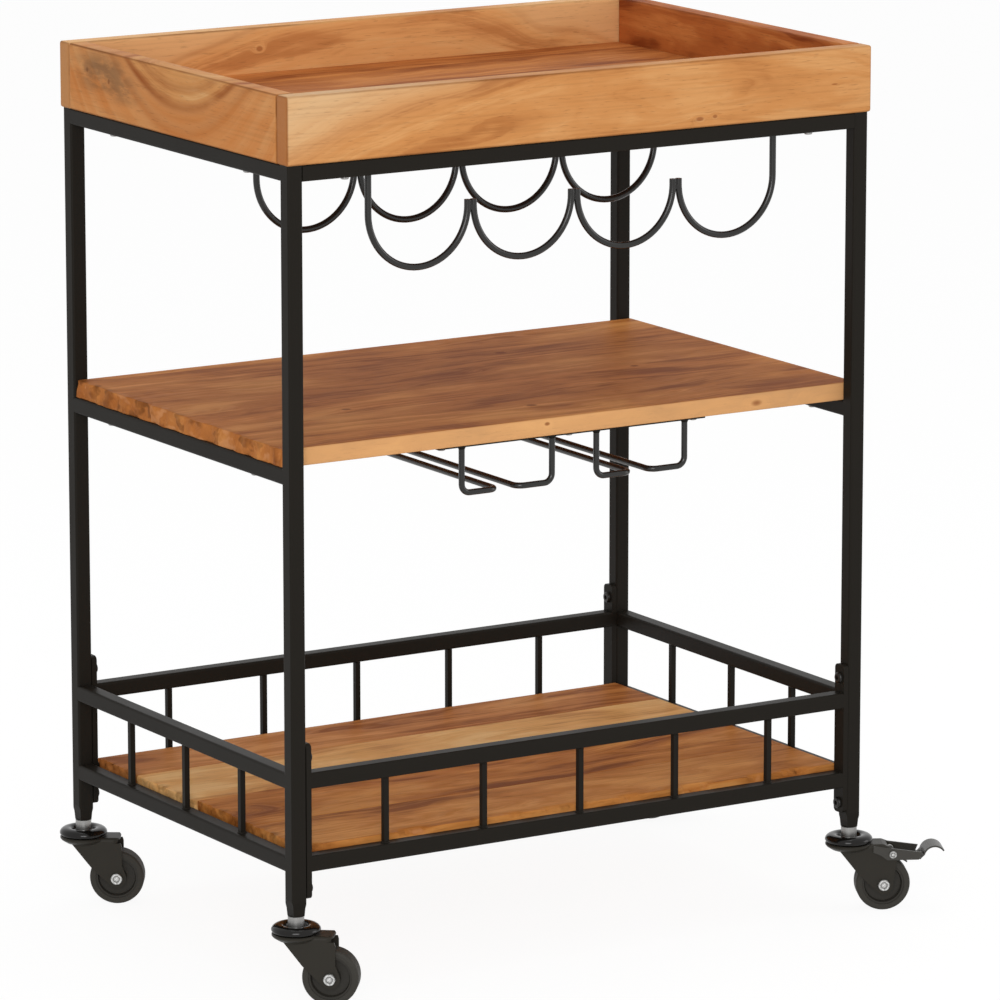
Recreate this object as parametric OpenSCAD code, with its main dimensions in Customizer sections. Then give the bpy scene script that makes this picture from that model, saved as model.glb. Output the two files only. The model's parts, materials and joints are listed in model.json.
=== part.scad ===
// Bar cart on four casters: two welded side frames, two top rails and two
// basket panels of square steel tube, a wooden tray, a middle shelf, a bottom
// shelf of loose boards, a two-row bottle rack and two stemware racks.
// Millimetres. The origin is on the floor under the middle of the frame,
// +X runs along the long side, the front is -Y and +Z is up.

/* [Frame] */
// Length of the frame over its legs
frame_w = 600; // [540:1:700]
// Depth of the frame over its legs
frame_d = 406; // [380:1:460]
// Height of the frame's top above the floor
frame_top = 740; // [710:1:800]
// Width of the square tube
tube = 14.5; // [13:0.5:17]
// Wall thickness of the tube
tube_wall = 1.2; // [0.9:0.1:1.6]
// Corner radius of the tube
tube_r = 2; // [1.5:0.25:2.5]
// Height of the middle rails' top above the floor
mid_rail_top = 475.5; // [450:0.5:520]
// Height of the lower basket rails' underside above the floor
low_rail_z = 117; // [112:0.5:130]
// Clear height between the two basket rails
rail_gap = 60; // [45:1:80]

/* [Basket] */
// Width of a square spindle
spindle = 5; // [4:0.5:7]
// Distance between two spindles
spindle_pitch = 101; // [85:1:110]
// Spindles in the front and the rear panel
long_spindles = 5; // [3:1:5]
// Spindles in each side frame
side_spindles = 3; // [1:1:3]
// Thickness of the panels' end plates
plate_t = 5; // [3:0.5:6]
// Height of an end plate above the upper rail
plate_up = 26; // [22:1:32]
// Depth of an end plate below the lower rail
plate_down = 24; // [18:1:28]
// Corner radius of an end plate
plate_r = 4; // [1:0.5:6]
// Height of the upper panel bolt above the upper rail
bolt_up = 13.5; // [10:0.5:16]
// Depth of the lower panel bolt below the lower rail
bolt_down = 15; // [9:0.5:18]
// Diameter of a panel bolt's shank
bolt_d = 6; // [5:0.5:6]
// Diameter of a panel bolt's head
bolt_head_d = 10.5; // [9:0.5:12]
// Height of a panel bolt's head
bolt_head_h = 2.8; // [2:0.1:3.5]
// Outside diameter of a rivet nut
nut_sleeve_d = 8.4; // [7.5:0.1:9]
// Length of a rivet nut inside the leg
nut_sleeve_l = 9; // [6:0.5:10]

/* [Top corners] */
// Length of a corner bracket's arms
bracket_arm = 28; // [22:1:36]
// Height of a corner bracket
bracket_h = 11; // [9:0.5:12]
// Thickness of a corner bracket
bracket_t = 2.5; // [1.5:0.5:4]
// Distance of a bracket's screw from the corner
bracket_hole = 18; // [14:1:20]
// Diameter of a bracket screw's shank
bracket_screw_d = 4.8; // [4:0.1:5]

/* [Tray] */
// Overhang of the tray beyond the frame
tray_over = 2; // [0:0.5:6]
// Height of the tray
tray_h = 60; // [45:1:80]
// Thickness of the tray's walls
tray_wall = 18; // [14:0.5:22]
// Thickness of the tray's floor
tray_floor_t = 18; // [12:0.5:20]
// Rounding of the tray's outer corners and rims
tray_round = 2.5; // [1:0.5:4]
// Distance of a side tray screw from the middle of the frame
tray_screw_y = 120; // [80:1:140]
// Distance of a front or rear tray screw from the middle of the frame
tray_screw_x = 240; // [200:1:250]

/* [Shelves] */
// Thickness of the middle shelf
shelf_t = 16; // [14:0.5:20]
// Gap between the middle shelf and the legs
shelf_gap = 0.3; // [0.1:0.1:1]
// Distance of a middle shelf screw from the middle of the frame
shelf_screw_y = 130; // [90:1:150]
// Thickness of a bottom board
board_t = 16; // [14:0.5:18]
// Height of the bottom boards' top above the lower rails
board_proud = 5; // [4:0.5:8]
// Gap between the bottom boards and the rails around them
board_gap = 1.5; // [0.5:0.25:3]
// Where the joints between the bottom boards lie, from the middle
board_joints = [-100, 2, 110];
// How much shorter each bottom board is cut at its left end
board_trims = [0.5, 2.5, 0, 1.5];
// Rounding of the shelves' edges
wood_round = 1.5; // [0.5:0.5:3]
// Thickness of the flat bars under the bottom boards
bearer_t = 3; // [2:0.5:3]
// Width of the flat bars under the bottom boards
bearer_w = 20; // [14:1:30]

/* [Bottle rack] */
// Diameter of the bottle rack's rod
rod_d = 6; // [5:0.5:7]
// Distance between two bottles
bottle_pitch = 106.5; // [95:0.5:112]
// Bottles side by side
bottles = 4; // [2:1:4]
// Depth of the front arcs' underside below the frame's top
bottle_drop = 105; // [95:1:115]
// Straight stretch at the top of an arc
cusp_h = 4.8; // [3:0.1:8]
// How much higher the rear arcs hang
rear_lift = 5; // [0:0.5:10]
// Distance between the front and the rear arcs
row_gap = 194; // [160:1:220]
// Distance of the front arcs behind the front rail
row_back = 4.5; // [4:0.25:8]
// Width of the racks' mounting strips
strip_w = 16; // [14:0.5:20]
// Thickness of the racks' mounting strips
strip_t = 2; // [1.5:0.25:3]
// Length of the bottle rack's strips beyond the end rods
strip_over = 12; // [8:1:20]
// Diameter of a wood screw's shank
screw_d = 4; // [3:0.5:4.5]
// Depth of a wood screw in the wood
screw_bite = 12; // [8:0.5:13]
// Diameter of a wood screw's head
screw_head_d = 7.5; // [6:0.5:9]
// Height of a wood screw's head
screw_head_h = 2.2; // [1.5:0.1:3]

/* [Stemware racks] */
// Diameter of the stemware racks' rod
glass_rod_d = 5.5; // [4.5:0.5:6]
// Distance of a stemware rack from the middle of the shelf
glass_x = 70; // [62:0.5:80]
// How far both stemware racks are welded to the right of their strips' middle
glass_shift = 6; // [0:0.5:8]
// Clear distance between a rack's two hangers, centre to centre
glass_w = 93.5; // [80:0.5:100]
// Distance between a rack's two rails, centre to centre
glass_slot = 21; // [18:0.5:26]
// Depth of the rails' underside below the strips
glass_drop = 45.5; // [35:0.5:55]
// Length of a stemware rack, hanger to hanger
glass_l = 300; // [220:1:320]
// Distance of the front hangers from the shelf's front edge
glass_inset = 12.5; // [8:0.5:20]
// Radius of the bends
bend_r = 8; // [6:0.5:10]

/* [Leg ends] */
// Height of the leg ends above the floor
leg_end = 78; // [76:0.5:90]
// Height of the tapered plug in a leg's end
plug_taper = 14; // [10:0.5:18]
// Width of a plug at its lower end
plug_tip = 11; // [10.5:0.25:12.5]
// Length of a plug inside its leg
plug_shank = 18; // [12:1:24]

/* [Casters] */
// Diameter of a wheel
wheel_d = 50; // [46:1:52]
// Width of a wheel
wheel_w = 20; // [16:0.5:24]
// Distance from the swivel axis to the axle
caster_trail = 31; // [28:0.5:32]
// Rest headings of the casters: front left, front right, rear left, rear right
caster_yaw = [-38, -27, -33, -32];
// Diameter of the top cap
cap_d = 44; // [42:0.5:48]
// Height of the top cap's rim
cap_rim_h = 7; // [5:0.1:8]
// Width of the top cap's rim
cap_rim_w = 6; // [3.5:0.25:6.5]
// Height of the stem's collar
collar_h = 11; // [10:0.5:12]
// Diameter of the stem's collar
collar_d = 14.5; // [12:0.5:18]
// Diameter of the stem's thread
stem_d = 8; // [6:0.5:8]
// Diameter of the swivel rivet
kingpin_d = 9; // [8:0.25:10]
// Thickness of the fork's steel
fork_t = 2; // [1.5:0.25:2.5]
// Gap between a wheel and its fork
wheel_gap = 1; // [0.6:0.1:1.5]
// Radius of the fork's crown
crown_r = 21.5; // [20:0.25:21.5]
// Height of the fork's crown
crown_h = 6; // [5:0.5:7]
// Radius of the fork's ends around the axle
fork_eye_r = 9; // [8:0.5:10]
// Diameter of a bearing ball
ball_d = 2.3; // [2:0.05:2.4]
// Balls in each swivel bearing
balls = 14; // [8:1:16]
// Diameter of the axle bolt
axle_d = 6; // [5:0.25:6.5]
// Outside diameter of the axle's bush
bush_d = 9; // [8.5:0.25:11]
// Width of the axle nut across its flats
nut_af = 10; // [9:0.5:11]
// Thickness of the tyre
tyre_t = 5.5; // [4:0.5:7]

/* [Brakes] */
// Distance from the swivel axis to the brake's pivot
brake_x = 39; // [38.5:0.25:40]
// Height of the brake's pivot above the axle
brake_z = 29; // [28.5:0.25:30]
// Diameter of the brake's pivot pin
brake_pin_d = 4; // [3:0.25:4.5]
// Thickness of the lever's steel
lever_t = 1.5; // [1:0.25:2]
// Length of the lever behind its pivot
lever_l = 27; // [24:0.5:32]
// Radius of the curled toe tab
toe_r = 11; // [9:0.5:12]

/* [Hidden] */
$fn = 48;
CORNERS = ["front_left", "front_right", "rear_left", "rear_right"];
BRAKED = [1, 3];

STEEL = [0.13, 0.12, 0.11];
DARK = [0.09, 0.09, 0.09];
ZINC = [0.75, 0.75, 0.76];
OAK = [0.80, 0.56, 0.34];
WALNUT = [0.62, 0.38, 0.22];

// Clearances
fit = 0.05;          // radial gap of a running fit, and of a screw in its thread
hole_play = 0.2;     // radial gap of a screw in a through hole
part_gap = 0.3;      // gap between faces of parts that move past each other
nut_edge = 0.8;      // steel left between a lower rivet nut and its tube's end
arc_steps = 4;       // straight steps in a rounded edge
eps = 0.01;

// Places that follow from the sizes above
leg_x = frame_w / 2 - tube / 2;
leg_y = frame_d / 2 - tube / 2;
in_x = frame_w / 2 - tube;
in_y = frame_d / 2 - tube;
up_rail_z = low_rail_z + tube + rail_gap;
plug_top = leg_end + plug_taper;
// The lower bolt stands below the rail, its nut inside the tube above the plug
low_bolt_z = max(low_rail_z - bolt_down, plug_top + nut_sleeve_d / 2 + nut_edge);
bolt_zs = [low_bolt_z, up_rail_z + tube + bolt_up];
tray_w = frame_w + 2 * tray_over;
tray_d = frame_d + 2 * tray_over;
board_top = low_rail_z + tube + board_proud;
board_bottom = board_top - board_t;
board_edges = concat([-in_y + board_gap], board_joints, [in_y - board_gap]);

// A rounded rectangle about the origin, with straight steps round its corners
function arc_points(cx, cy, r, a0, a1, steps) =
    [for (i = [0 : steps]) let (a = a0 + (a1 - a0) * i / steps) [cx + r * cos(a), cy + r * sin(a)]];
function rounded_rectangle(w, d, r) = [
    for (q = [0 : 3])
        let (sx = (q == 0 || q == 3) ? 1 : -1, sy = q < 2 ? 1 : -1)
        each arc_points(sx * (w / 2 - r), sy * (d / 2 - r), r, 90 * q, 90 * q + 90, arc_steps)
];
// A rectangle whose top corners are rounded by r_left and r_right
function rounded_top(x0, x1, z0, z1, r_left, r_right) = concat(
    [[x0, z0], [x1, z0]],
    arc_points(x1 - r_right, z1 - r_right, r_right, 0, 90, arc_steps),
    arc_points(x0 + r_left, z1 - r_left, r_left, 90, 180, arc_steps)
);

// Turn what is drawn along Z to run along X
module along_x() rotate([90, 0, 90]) children();

// A bar of rounded square section, l long, drawn along Z about its middle
module square_bar(w, r, l)
    translate([0, 0, -l / 2]) linear_extrude(l) polygon(rounded_rectangle(w, w, r));
module tube_body(l) square_bar(tube, tube_r, l);
module tube_core(l) square_bar(tube - 2 * tube_wall, tube_r - tube_wall, l);
module drill(d, l) translate([0, 0, -l / 2]) cylinder(d = d, h = l);

// A board with every edge rounded, between two opposite corners
module board(p, q, r) {
    s = q - p;
    translate((p + q) / 2) intersection() {
        translate([0, 0, -s.z / 2]) linear_extrude(s.z) polygon(rounded_rectangle(s.x, s.y, r));
        rotate([90, 0, 0]) translate([0, 0, -s.y / 2])
            linear_extrude(s.y) polygon(rounded_rectangle(s.x, s.z, r));
        along_x() translate([0, 0, -s.x / 2])
            linear_extrude(s.x) polygon(rounded_rectangle(s.y, s.z, r));
    }
}

// ---- side frames ---------------------------------------------------------

rail_mid_zs = [frame_top - tube / 2, mid_rail_top - tube / 2,
               low_rail_z + tube / 2, up_rail_z + tube / 2];

module side_frame(side) {
    x = side * leg_x;
    color(STEEL) difference() {
        union() {
            for (s = [-1, 1]) translate([x, s * leg_y, (plug_top + frame_top) / 2])
                tube_body(frame_top - plug_top);
            for (z = rail_mid_zs) translate([x, 0, z]) rotate([90, 0, 0])
                tube_body(2 * (in_y + tube_r));
            for (i = [0 : side_spindles - 1])
                translate([x, spindle_pitch * (i - (side_spindles - 1) / 2), up_rail_z - rail_gap / 2])
                    cube([spindle, spindle, rail_gap + tube_wall], center = true);
        }
        for (s = [-1, 1]) translate([x, s * leg_y, (plug_top + frame_top) / 2 - tube_wall])
            tube_core(frame_top - plug_top);
        for (z = rail_mid_zs) translate([x, 0, z]) rotate([90, 0, 0]) tube_core(2 * in_y);
        // rivet nuts for the basket panels
        for (s = [-1, 1], z = bolt_zs) translate([side * (in_x + tube_wall), s * leg_y, z])
            along_x() drill(nut_sleeve_d + 2 * fit, 4 * tube_wall);
        // screws into the tray, the middle shelf and the corner brackets
        for (s = [-1, 1]) {
            translate([x, s * tray_screw_y, frame_top - tube / 2])
                drill(screw_d + 2 * hole_play, 2 * tube);
            translate([x, s * shelf_screw_y, mid_rail_top - tube / 2])
                drill(screw_d + 2 * hole_play, 2 * tube);
            translate([side * (in_x + tube_wall), s * (in_y - bracket_hole), frame_top - tube / 2])
                along_x() drill(bracket_screw_d + 2 * fit, 4 * tube_wall);
        }
    }
}

// ---- top rails and their corner brackets ----------------------------------

module top_rail(side) color(STEEL) difference() {
    translate([0, side * leg_y, frame_top - tube / 2]) along_x() difference() {
        tube_body(2 * in_x);
        tube_core(2 * in_x + 2 * eps);
    }
    for (s = [-1, 1]) {
        translate([s * tray_screw_x, side * leg_y, frame_top - tube / 2])
            drill(screw_d + 2 * hole_play, 2 * tube);
        translate([s * (in_x - bracket_hole), side * (in_y + tube_wall), frame_top - tube / 2])
            rotate([90, 0, 0]) drill(bracket_screw_d + 2 * fit, 4 * tube_wall);
    }
}

module corner_brackets() color(STEEL) for (sx = [-1, 1], sy = [-1, 1])
    translate([sx * in_x, sy * in_y, frame_top - tube / 2])
    mirror([sx + 1, 0, 0]) mirror([0, sy + 1, 0]) difference() {
        union() {
            translate([0, 0, -bracket_h / 2]) cube([bracket_arm, bracket_t, bracket_h]);
            translate([0, 0, -bracket_h / 2]) cube([bracket_t, bracket_arm, bracket_h]);
        }
        translate([bracket_hole, bracket_t / 2, 0]) rotate([90, 0, 0])
            drill(bracket_screw_d + 2 * hole_play, 2 * bracket_t);
        translate([bracket_t / 2, bracket_hole, 0]) along_x()
            drill(bracket_screw_d + 2 * hole_play, 2 * bracket_t);
    }

// A pan head screw: its head is above z = 0 and its shank l long below it
module pan_screw(d, l, head_d, head_h) {
    translate([0, 0, -l]) cylinder(d = d, h = l + eps);
    rotate_extrude() polygon(concat([[0, 0], [head_d / 2, 0]],
        arc_points(head_d / 2 - head_h * 0.6, head_h * 0.4, head_h * 0.6, 0, 90, arc_steps),
        [[0, head_h]]));
}

module bracket_screws() color(ZINC) for (sx = [-1, 1], sy = [-1, 1]) {
    z = frame_top - tube / 2;
    translate([sx * (in_x - bracket_hole), sy * (in_y - bracket_t), z])
        rotate([sy * 90, 0, 0]) pan_screw(bracket_screw_d, bracket_t + 3 * tube_wall, 8.5, 2.4);
    translate([sx * (in_x - bracket_t), sy * (in_y - bracket_hole), z])
        rotate([0, -sx * 90, 0]) pan_screw(bracket_screw_d, bracket_t + 3 * tube_wall, 8.5, 2.4);
}

// ---- basket panels --------------------------------------------------------

module basket_panel(side) {
    rail_l = 2 * (in_x - plate_t);
    plate_z = [low_rail_z - plate_down, up_rail_z + tube + plate_up];
    plate_h = plate_z[1] - plate_z[0];
    color(STEEL) translate([0, side * leg_y, 0]) difference() {
        union() {
            for (z = [low_rail_z, up_rail_z]) translate([0, 0, z + tube / 2]) along_x()
                tube_body(rail_l + plate_t);
            for (i = [0 : long_spindles - 1])
                translate([spindle_pitch * (i - (long_spindles - 1) / 2), 0, up_rail_z - rail_gap / 2])
                    cube([spindle, spindle, rail_gap + tube_wall], center = true);
            for (s = [-1, 1]) translate([s * (in_x - plate_t / 2), 0, (plate_z[0] + plate_z[1]) / 2])
                along_x() translate([0, 0, -plate_t / 2]) linear_extrude(plate_t)
                    polygon(rounded_rectangle(tube, plate_h, plate_r));
        }
        for (z = [low_rail_z, up_rail_z]) translate([0, 0, z + tube / 2]) along_x() tube_core(rail_l);
        for (s = [-1, 1], z = bolt_zs) translate([s * in_x, 0, z]) along_x()
            drill(bolt_d + 2 * hole_play, 4 * plate_t);
    }
}

// A button head bolt with a hexagonal socket, its head above z = 0
module button_bolt(l) difference() {
    pan_screw(bolt_d, l, bolt_head_d, bolt_head_h);
    translate([0, 0, bolt_head_h * 0.45]) cylinder(d = bolt_d * 0.77, h = bolt_head_h, $fn = 6);
}

module basket_bolts() color(DARK) for (sx = [-1, 1], sy = [-1, 1], z = bolt_zs)
    translate([sx * (in_x - plate_t), sy * leg_y, z]) rotate([0, -sx * 90, 0])
        button_bolt(plate_t + nut_sleeve_l);

module rivet_nuts() color(ZINC) for (sx = [-1, 1], sy = [-1, 1], z = bolt_zs)
    translate([sx * (in_x + nut_sleeve_l / 2), sy * leg_y, z]) along_x() difference() {
        drill(nut_sleeve_d, nut_sleeve_l);
        drill(bolt_d + 2 * fit, 2 * nut_sleeve_l);
    }

// ---- leg plugs -------------------------------------------------------------

function taper_side(w0, w1, h) = [
    [-w0 / 2, 0], [w0 / 2, 0], [w0 / 2 + (w1 - w0) * 0.15, h * 0.5],
    [w1 / 2, h], [-w1 / 2, h], [-w0 / 2 - (w1 - w0) * 0.15, h * 0.5]
];

// Underside of the room that the lower rivet nut needs inside a leg
nut_room_z = bolt_zs[0] - nut_sleeve_d / 2 - part_gap;

// The shank is forked, so that it straddles the rivet nut
module leg_plug() difference() {
    union() {
        intersection() {
            linear_extrude(plug_taper) polygon(rounded_rectangle(tube, tube, tube_r));
            rotate([90, 0, 0]) translate([0, 0, -tube])
                linear_extrude(2 * tube) polygon(taper_side(plug_tip, tube, plug_taper));
            along_x() translate([0, 0, -tube])
                linear_extrude(2 * tube) polygon(taper_side(plug_tip, tube, plug_taper));
        }
        translate([0, 0, plug_taper - eps]) linear_extrude(plug_shank + eps)
            polygon(rounded_rectangle(tube - 2 * tube_wall - 2 * fit, tube - 2 * tube_wall - 2 * fit,
                                      tube_r - tube_wall));
    }
    translate([0, 0, -eps]) cylinder(d = stem_d + 2 * fit, h = plug_taper + plug_shank + 2 * eps);
    translate([-tube, -nut_sleeve_d / 2 - part_gap, nut_room_z - leg_end])
        cube([2 * tube, nut_sleeve_d + 2 * part_gap, plug_taper + plug_shank]);
}

module leg_plugs() color(STEEL) for (sx = [-1, 1], sy = [-1, 1])
    translate([sx * leg_x, sy * leg_y, leg_end]) leg_plug();

// ---- tray ------------------------------------------------------------------

tray_z = [frame_top, frame_top + tray_h];
tray_screw_at = [for (s = [-1, 1], side = [-1, 1])
    each [[side * leg_x, s * tray_screw_y], [s * tray_screw_x, side * leg_y]]];

// A wood screw driven upwards, its head below z = 0, through a plate t thick
module wood_screw_up(t, bite) rotate([180, 0, 0])
    pan_screw(screw_d, t + bite, screw_head_d, screw_head_h);
// Holes that such screws cut in wood whose underside is at z
module pilots(places, z, bite) for (p = places) translate([p[0], p[1], z - 1])
    cylinder(d = screw_d + 2 * fit, h = bite + 1.5);

// The tray's outer block, rounded at its upright corners and round its top
module tray_block() intersection() {
    translate([0, 0, tray_z[0]]) linear_extrude(tray_h)
        polygon(rounded_rectangle(tray_w, tray_d, tray_round));
    rotate([90, 0, 0]) translate([0, 0, -tray_d]) linear_extrude(2 * tray_d)
        polygon(rounded_top(-tray_w / 2, tray_w / 2, tray_z[0], tray_z[1], tray_round, tray_round));
    along_x() translate([0, 0, -tray_w]) linear_extrude(2 * tray_w)
        polygon(rounded_top(-tray_d / 2, tray_d / 2, tray_z[0], tray_z[1], tray_round, tray_round));
}

// Front and rear boards run the tray's full length
module tray_long(side) color(OAK) difference() {
    intersection() {
        tray_block();
        along_x() translate([0, 0, -tray_w]) linear_extrude(2 * tray_w) mirror([1 - side, 0])
            polygon(rounded_top(tray_d / 2 - tray_wall, tray_d / 2, tray_z[0], tray_z[1],
                                tray_round, tray_round));
    }
    pilots(tray_screw_at, frame_top, screw_bite);
}

// Left and right boards stand between them
module tray_short(side) color(OAK) difference() {
    intersection() {
        tray_block();
        rotate([90, 0, 0]) translate([0, 0, -tray_d / 2 + tray_wall])
            linear_extrude(tray_d - 2 * tray_wall) mirror([1 - side, 0])
                polygon(rounded_top(tray_w / 2 - tray_wall, tray_w / 2, tray_z[0], tray_z[1],
                                    tray_round, tray_round));
    }
    pilots(tray_screw_at, frame_top, screw_bite);
}

module tray_floor() color(OAK) difference() {
    translate([0, 0, frame_top + tray_floor_t / 2])
        cube([tray_w - 2 * tray_wall, tray_d - 2 * tray_wall, tray_floor_t], center = true);
    pilots(bottle_screw_at, frame_top, screw_bite);
}

module tray_screws() color(ZINC) for (p = tray_screw_at)
    translate([p[0], p[1], frame_top - tube]) wood_screw_up(tube, screw_bite);

// ---- middle shelf ----------------------------------------------------------

shelf_screw_at = [for (side = [-1, 1], s = [-1, 1]) [side * leg_x, s * shelf_screw_y]];

module middle_shelf() color(WALNUT) difference() {
    board([-frame_w / 2, -in_y + shelf_gap, mid_rail_top],
          [frame_w / 2, in_y - shelf_gap, mid_rail_top + shelf_t], wood_round);
    pilots(concat(shelf_screw_at, glass_screw_at), mid_rail_top, screw_bite);
}

module middle_shelf_screws() color(ZINC) for (p = shelf_screw_at)
    translate([p[0], p[1], mid_rail_top - tube]) wood_screw_up(tube, screw_bite);

// ---- bottom shelf ----------------------------------------------------------

module bottom_board(i) color(WALNUT) difference() {
    board([-in_x + board_gap + board_trims[i], board_edges[i], board_bottom],
          [in_x - board_gap, board_edges[i + 1], board_top], wood_round / 2);
    pilots([for (x = bearer_xs) [x, bearer_screw_ys[i]]], board_bottom, screw_bite - 1);
}

// Where the bearers' screws stand, one row along each bearer
bearer_xs = [-in_x + bearer_w / 2, 0, in_x - bearer_w / 2];
bearer_screw_ys = [for (i = [0 : len(board_edges) - 2]) (board_edges[i] + board_edges[i + 1]) / 2];

// Two ledges stand on the side frames' lower rails, a batten ties the boards
module board_bearers() color(STEEL) for (x = bearer_xs) difference() {
    translate([x, 0, board_bottom - bearer_t / 2]) cube([bearer_w, 2 * in_y, bearer_t], center = true);
    for (y = bearer_screw_ys) translate([x, y, board_bottom])
        drill(screw_d + 2 * hole_play, 4 * bearer_t);
}

module bottom_board_screws() color(ZINC) for (x = bearer_xs, y = bearer_screw_ys)
    translate([x, y, board_bottom - bearer_t]) wood_screw_up(bearer_t, screw_bite - 1);

// ---- bottle rack -----------------------------------------------------------

arc_r = (bottle_pitch - rod_d) / 2 - fit;
row_y = -in_y + row_back;
bottle_xs = [for (i = [0 : bottles - 1]) bottle_pitch * (i - (bottles - 1) / 2)];
rack_end_x = bottle_pitch * bottles / 2 - rod_d / 2 - fit;
strip_screw_xs = [-bottle_pitch * bottles * 0.36, 0, bottle_pitch * bottles * 0.36];

module rod(l, d) cylinder(d = d, h = l);

// A row of half rings, welded where they meet, its end rods welded to a strip
module bottle_row(y, lift, strip_y) color(STEEL) {
    z = frame_top - bottle_drop + lift + rod_d / 2 + arc_r;
    strip_z = frame_top - strip_t;
    difference() {
        union() {
            translate([0, y, z]) {
                for (x = bottle_xs) translate([x, 0, 0]) rotate([90, 0, 0]) rotate([0, 0, 180])
                    rotate_extrude(angle = 180) translate([arc_r, 0]) circle(d = rod_d);
                for (x = bottle_xs, s = [-1, 1]) if (abs(x + s * arc_r) < rack_end_x - rod_d)
                    translate([x + s * arc_r, 0, 0]) rod(cusp_h, rod_d);
                for (s = [-1, 1]) translate([s * rack_end_x, 0, 0]) rod(strip_z - z, rod_d);
                // welds between neighbouring rings
                for (i = [0 : bottles - 2]) translate([bottle_xs[i] + bottle_pitch / 2, 0, 0])
                    cube([rod_d / 2, rod_d / 2, 2 * cusp_h - 1], center = true);
            }
            translate([0, strip_y, strip_z + strip_t / 2])
                cube([2 * (rack_end_x + strip_over), strip_w, strip_t], center = true);
        }
        for (x = strip_screw_xs) translate([x, strip_y, strip_z])
            drill(screw_d + 2 * hole_play, 4 * strip_t);
    }
}
front_strip_y = -in_y + strip_w / 2;
rear_strip_y = row_y + row_gap;
bottle_screw_at = [for (x = strip_screw_xs, y = [front_strip_y, rear_strip_y]) [x, y]];
module bottle_rack_front() bottle_row(row_y, 0, front_strip_y);
module bottle_rack_rear() bottle_row(row_y + row_gap, rear_lift, rear_strip_y);

// ---- stemware racks --------------------------------------------------------

shelf_edge_y = -in_y + shelf_gap;
glass_ys = [shelf_edge_y + glass_inset, shelf_edge_y + glass_inset + glass_l];
glass_strip_z = mid_rail_top - strip_t;
glass_rail_z = glass_strip_z - glass_drop + glass_rod_d / 2;
glass_strip_l = 2 * (glass_x + glass_w / 2 + glass_shift + 17);
glass_screw_xs = [-glass_strip_l / 2 + 8, 0, glass_strip_l / 2 - 8];
glass_screw_at = [for (x = glass_screw_xs, y = glass_ys) [x, y]];

module quarter_bend() rotate_extrude(angle = 90) translate([bend_r, 0]) circle(d = glass_rod_d);

// Half of one rod, from its front hanger to the middle of the rack; the rod
// lies to the right of the slot, whose middle is x = 0
module half_glass_rod() {
    hang_x = glass_w / 2;
    rail_x = glass_slot / 2;
    translate([hang_x, 0, bend_r]) rod(glass_strip_z - glass_rail_z - bend_r, glass_rod_d);
    translate([hang_x - bend_r, 0, bend_r]) rotate([90, 0, 0]) rotate([0, 0, 270]) quarter_bend();
    translate([rail_x + bend_r, 0, 0]) along_x() rod(hang_x - rail_x - 2 * bend_r, glass_rod_d);
    translate([rail_x + bend_r, bend_r, 0]) rotate([0, 0, 180]) quarter_bend();
    translate([rail_x, bend_r, 0]) rotate([-90, 0, 0]) rod(glass_l / 2 - bend_r, glass_rod_d);
}

module glass_rack(side) color(STEEL) translate([side * glass_x + glass_shift, glass_ys[0], glass_rail_z])
    for (s = [-1, 1]) mirror([1 - s, 0, 0]) {
        half_glass_rod();
        translate([0, glass_l, 0]) mirror([0, 1, 0]) half_glass_rod();
    }

module glass_rack_strips() color(STEEL) for (y = glass_ys) difference() {
    translate([0, y, glass_strip_z + strip_t / 2]) cube([glass_strip_l, strip_w, strip_t], center = true);
    for (x = glass_screw_xs) translate([x, y, glass_strip_z]) drill(screw_d + 2 * hole_play, 4 * strip_t);
}

module rack_screws() color(ZINC) {
    for (p = bottle_screw_at) translate([p[0], p[1], frame_top - strip_t])
        wood_screw_up(strip_t, screw_bite);
    for (p = glass_screw_at) translate([p[0], p[1], glass_strip_z])
        wood_screw_up(strip_t, screw_bite);
}

// ---- casters ---------------------------------------------------------------

axle_z = wheel_d / 2;
collar_z = leg_end - collar_h;
cap_floor_t = 1.5;
cap_rim_z = collar_z - cap_floor_t - 1.5;
race_gap = 2.5;
crown_top = collar_z - cap_floor_t - race_gap;
fork_in = wheel_w / 2 + wheel_gap;
fork_out = fork_in + fork_t;
ball_ring_r = cap_d / 2 - cap_rim_w - 4;

function corner_x(i) = (i % 2 == 0 ? -1 : 1) * leg_x;
function corner_y(i) = (i < 2 ? -1 : 1) * leg_y;
module at_caster(i) translate([corner_x(i), corner_y(i), 0]) rotate([0, 0, caster_yaw[i]]) children();
module at_axle(i) at_caster(i) translate([caster_trail, 0, axle_z]) rotate([-90, 0, 0]) children();

// Threaded stem, collar and swivel rivet in one turned piece
module caster_stems() color(ZINC) for (i = [0 : 3]) at_caster(i) {
    head_z = crown_top - fork_t - part_gap - 2.2;
    rotate_extrude() polygon([
        [0, head_z], [kingpin_d / 2 + 2.5, head_z], [kingpin_d / 2 + 3.5, head_z + 1],
        [kingpin_d / 2 + 3.5, head_z + 2.2], [kingpin_d / 2, head_z + 2.2],
        [kingpin_d / 2, collar_z], [collar_d / 2, collar_z], [collar_d / 2, leg_end],
        [stem_d / 2, leg_end], [stem_d / 2, nut_room_z - 1],
        [stem_d / 2 - 1, nut_room_z], [0, nut_room_z]
    ]);
}

// Dished cap with a thick rounded rim
module caster_caps() color(DARK) for (i = [0 : 3]) at_caster(i) rotate_extrude() difference() {
    union() {
        translate([kingpin_d / 2 + fit, collar_z - cap_floor_t])
            square([cap_d / 2 - cap_rim_w / 2 - kingpin_d / 2 - fit, cap_floor_t]);
        translate([cap_d / 2 - cap_rim_w / 2, cap_rim_z + cap_rim_h / 2])
            polygon(rounded_rectangle(cap_rim_w, cap_rim_h, min(cap_rim_w, cap_rim_h) * 0.46));
    }
}

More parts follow.
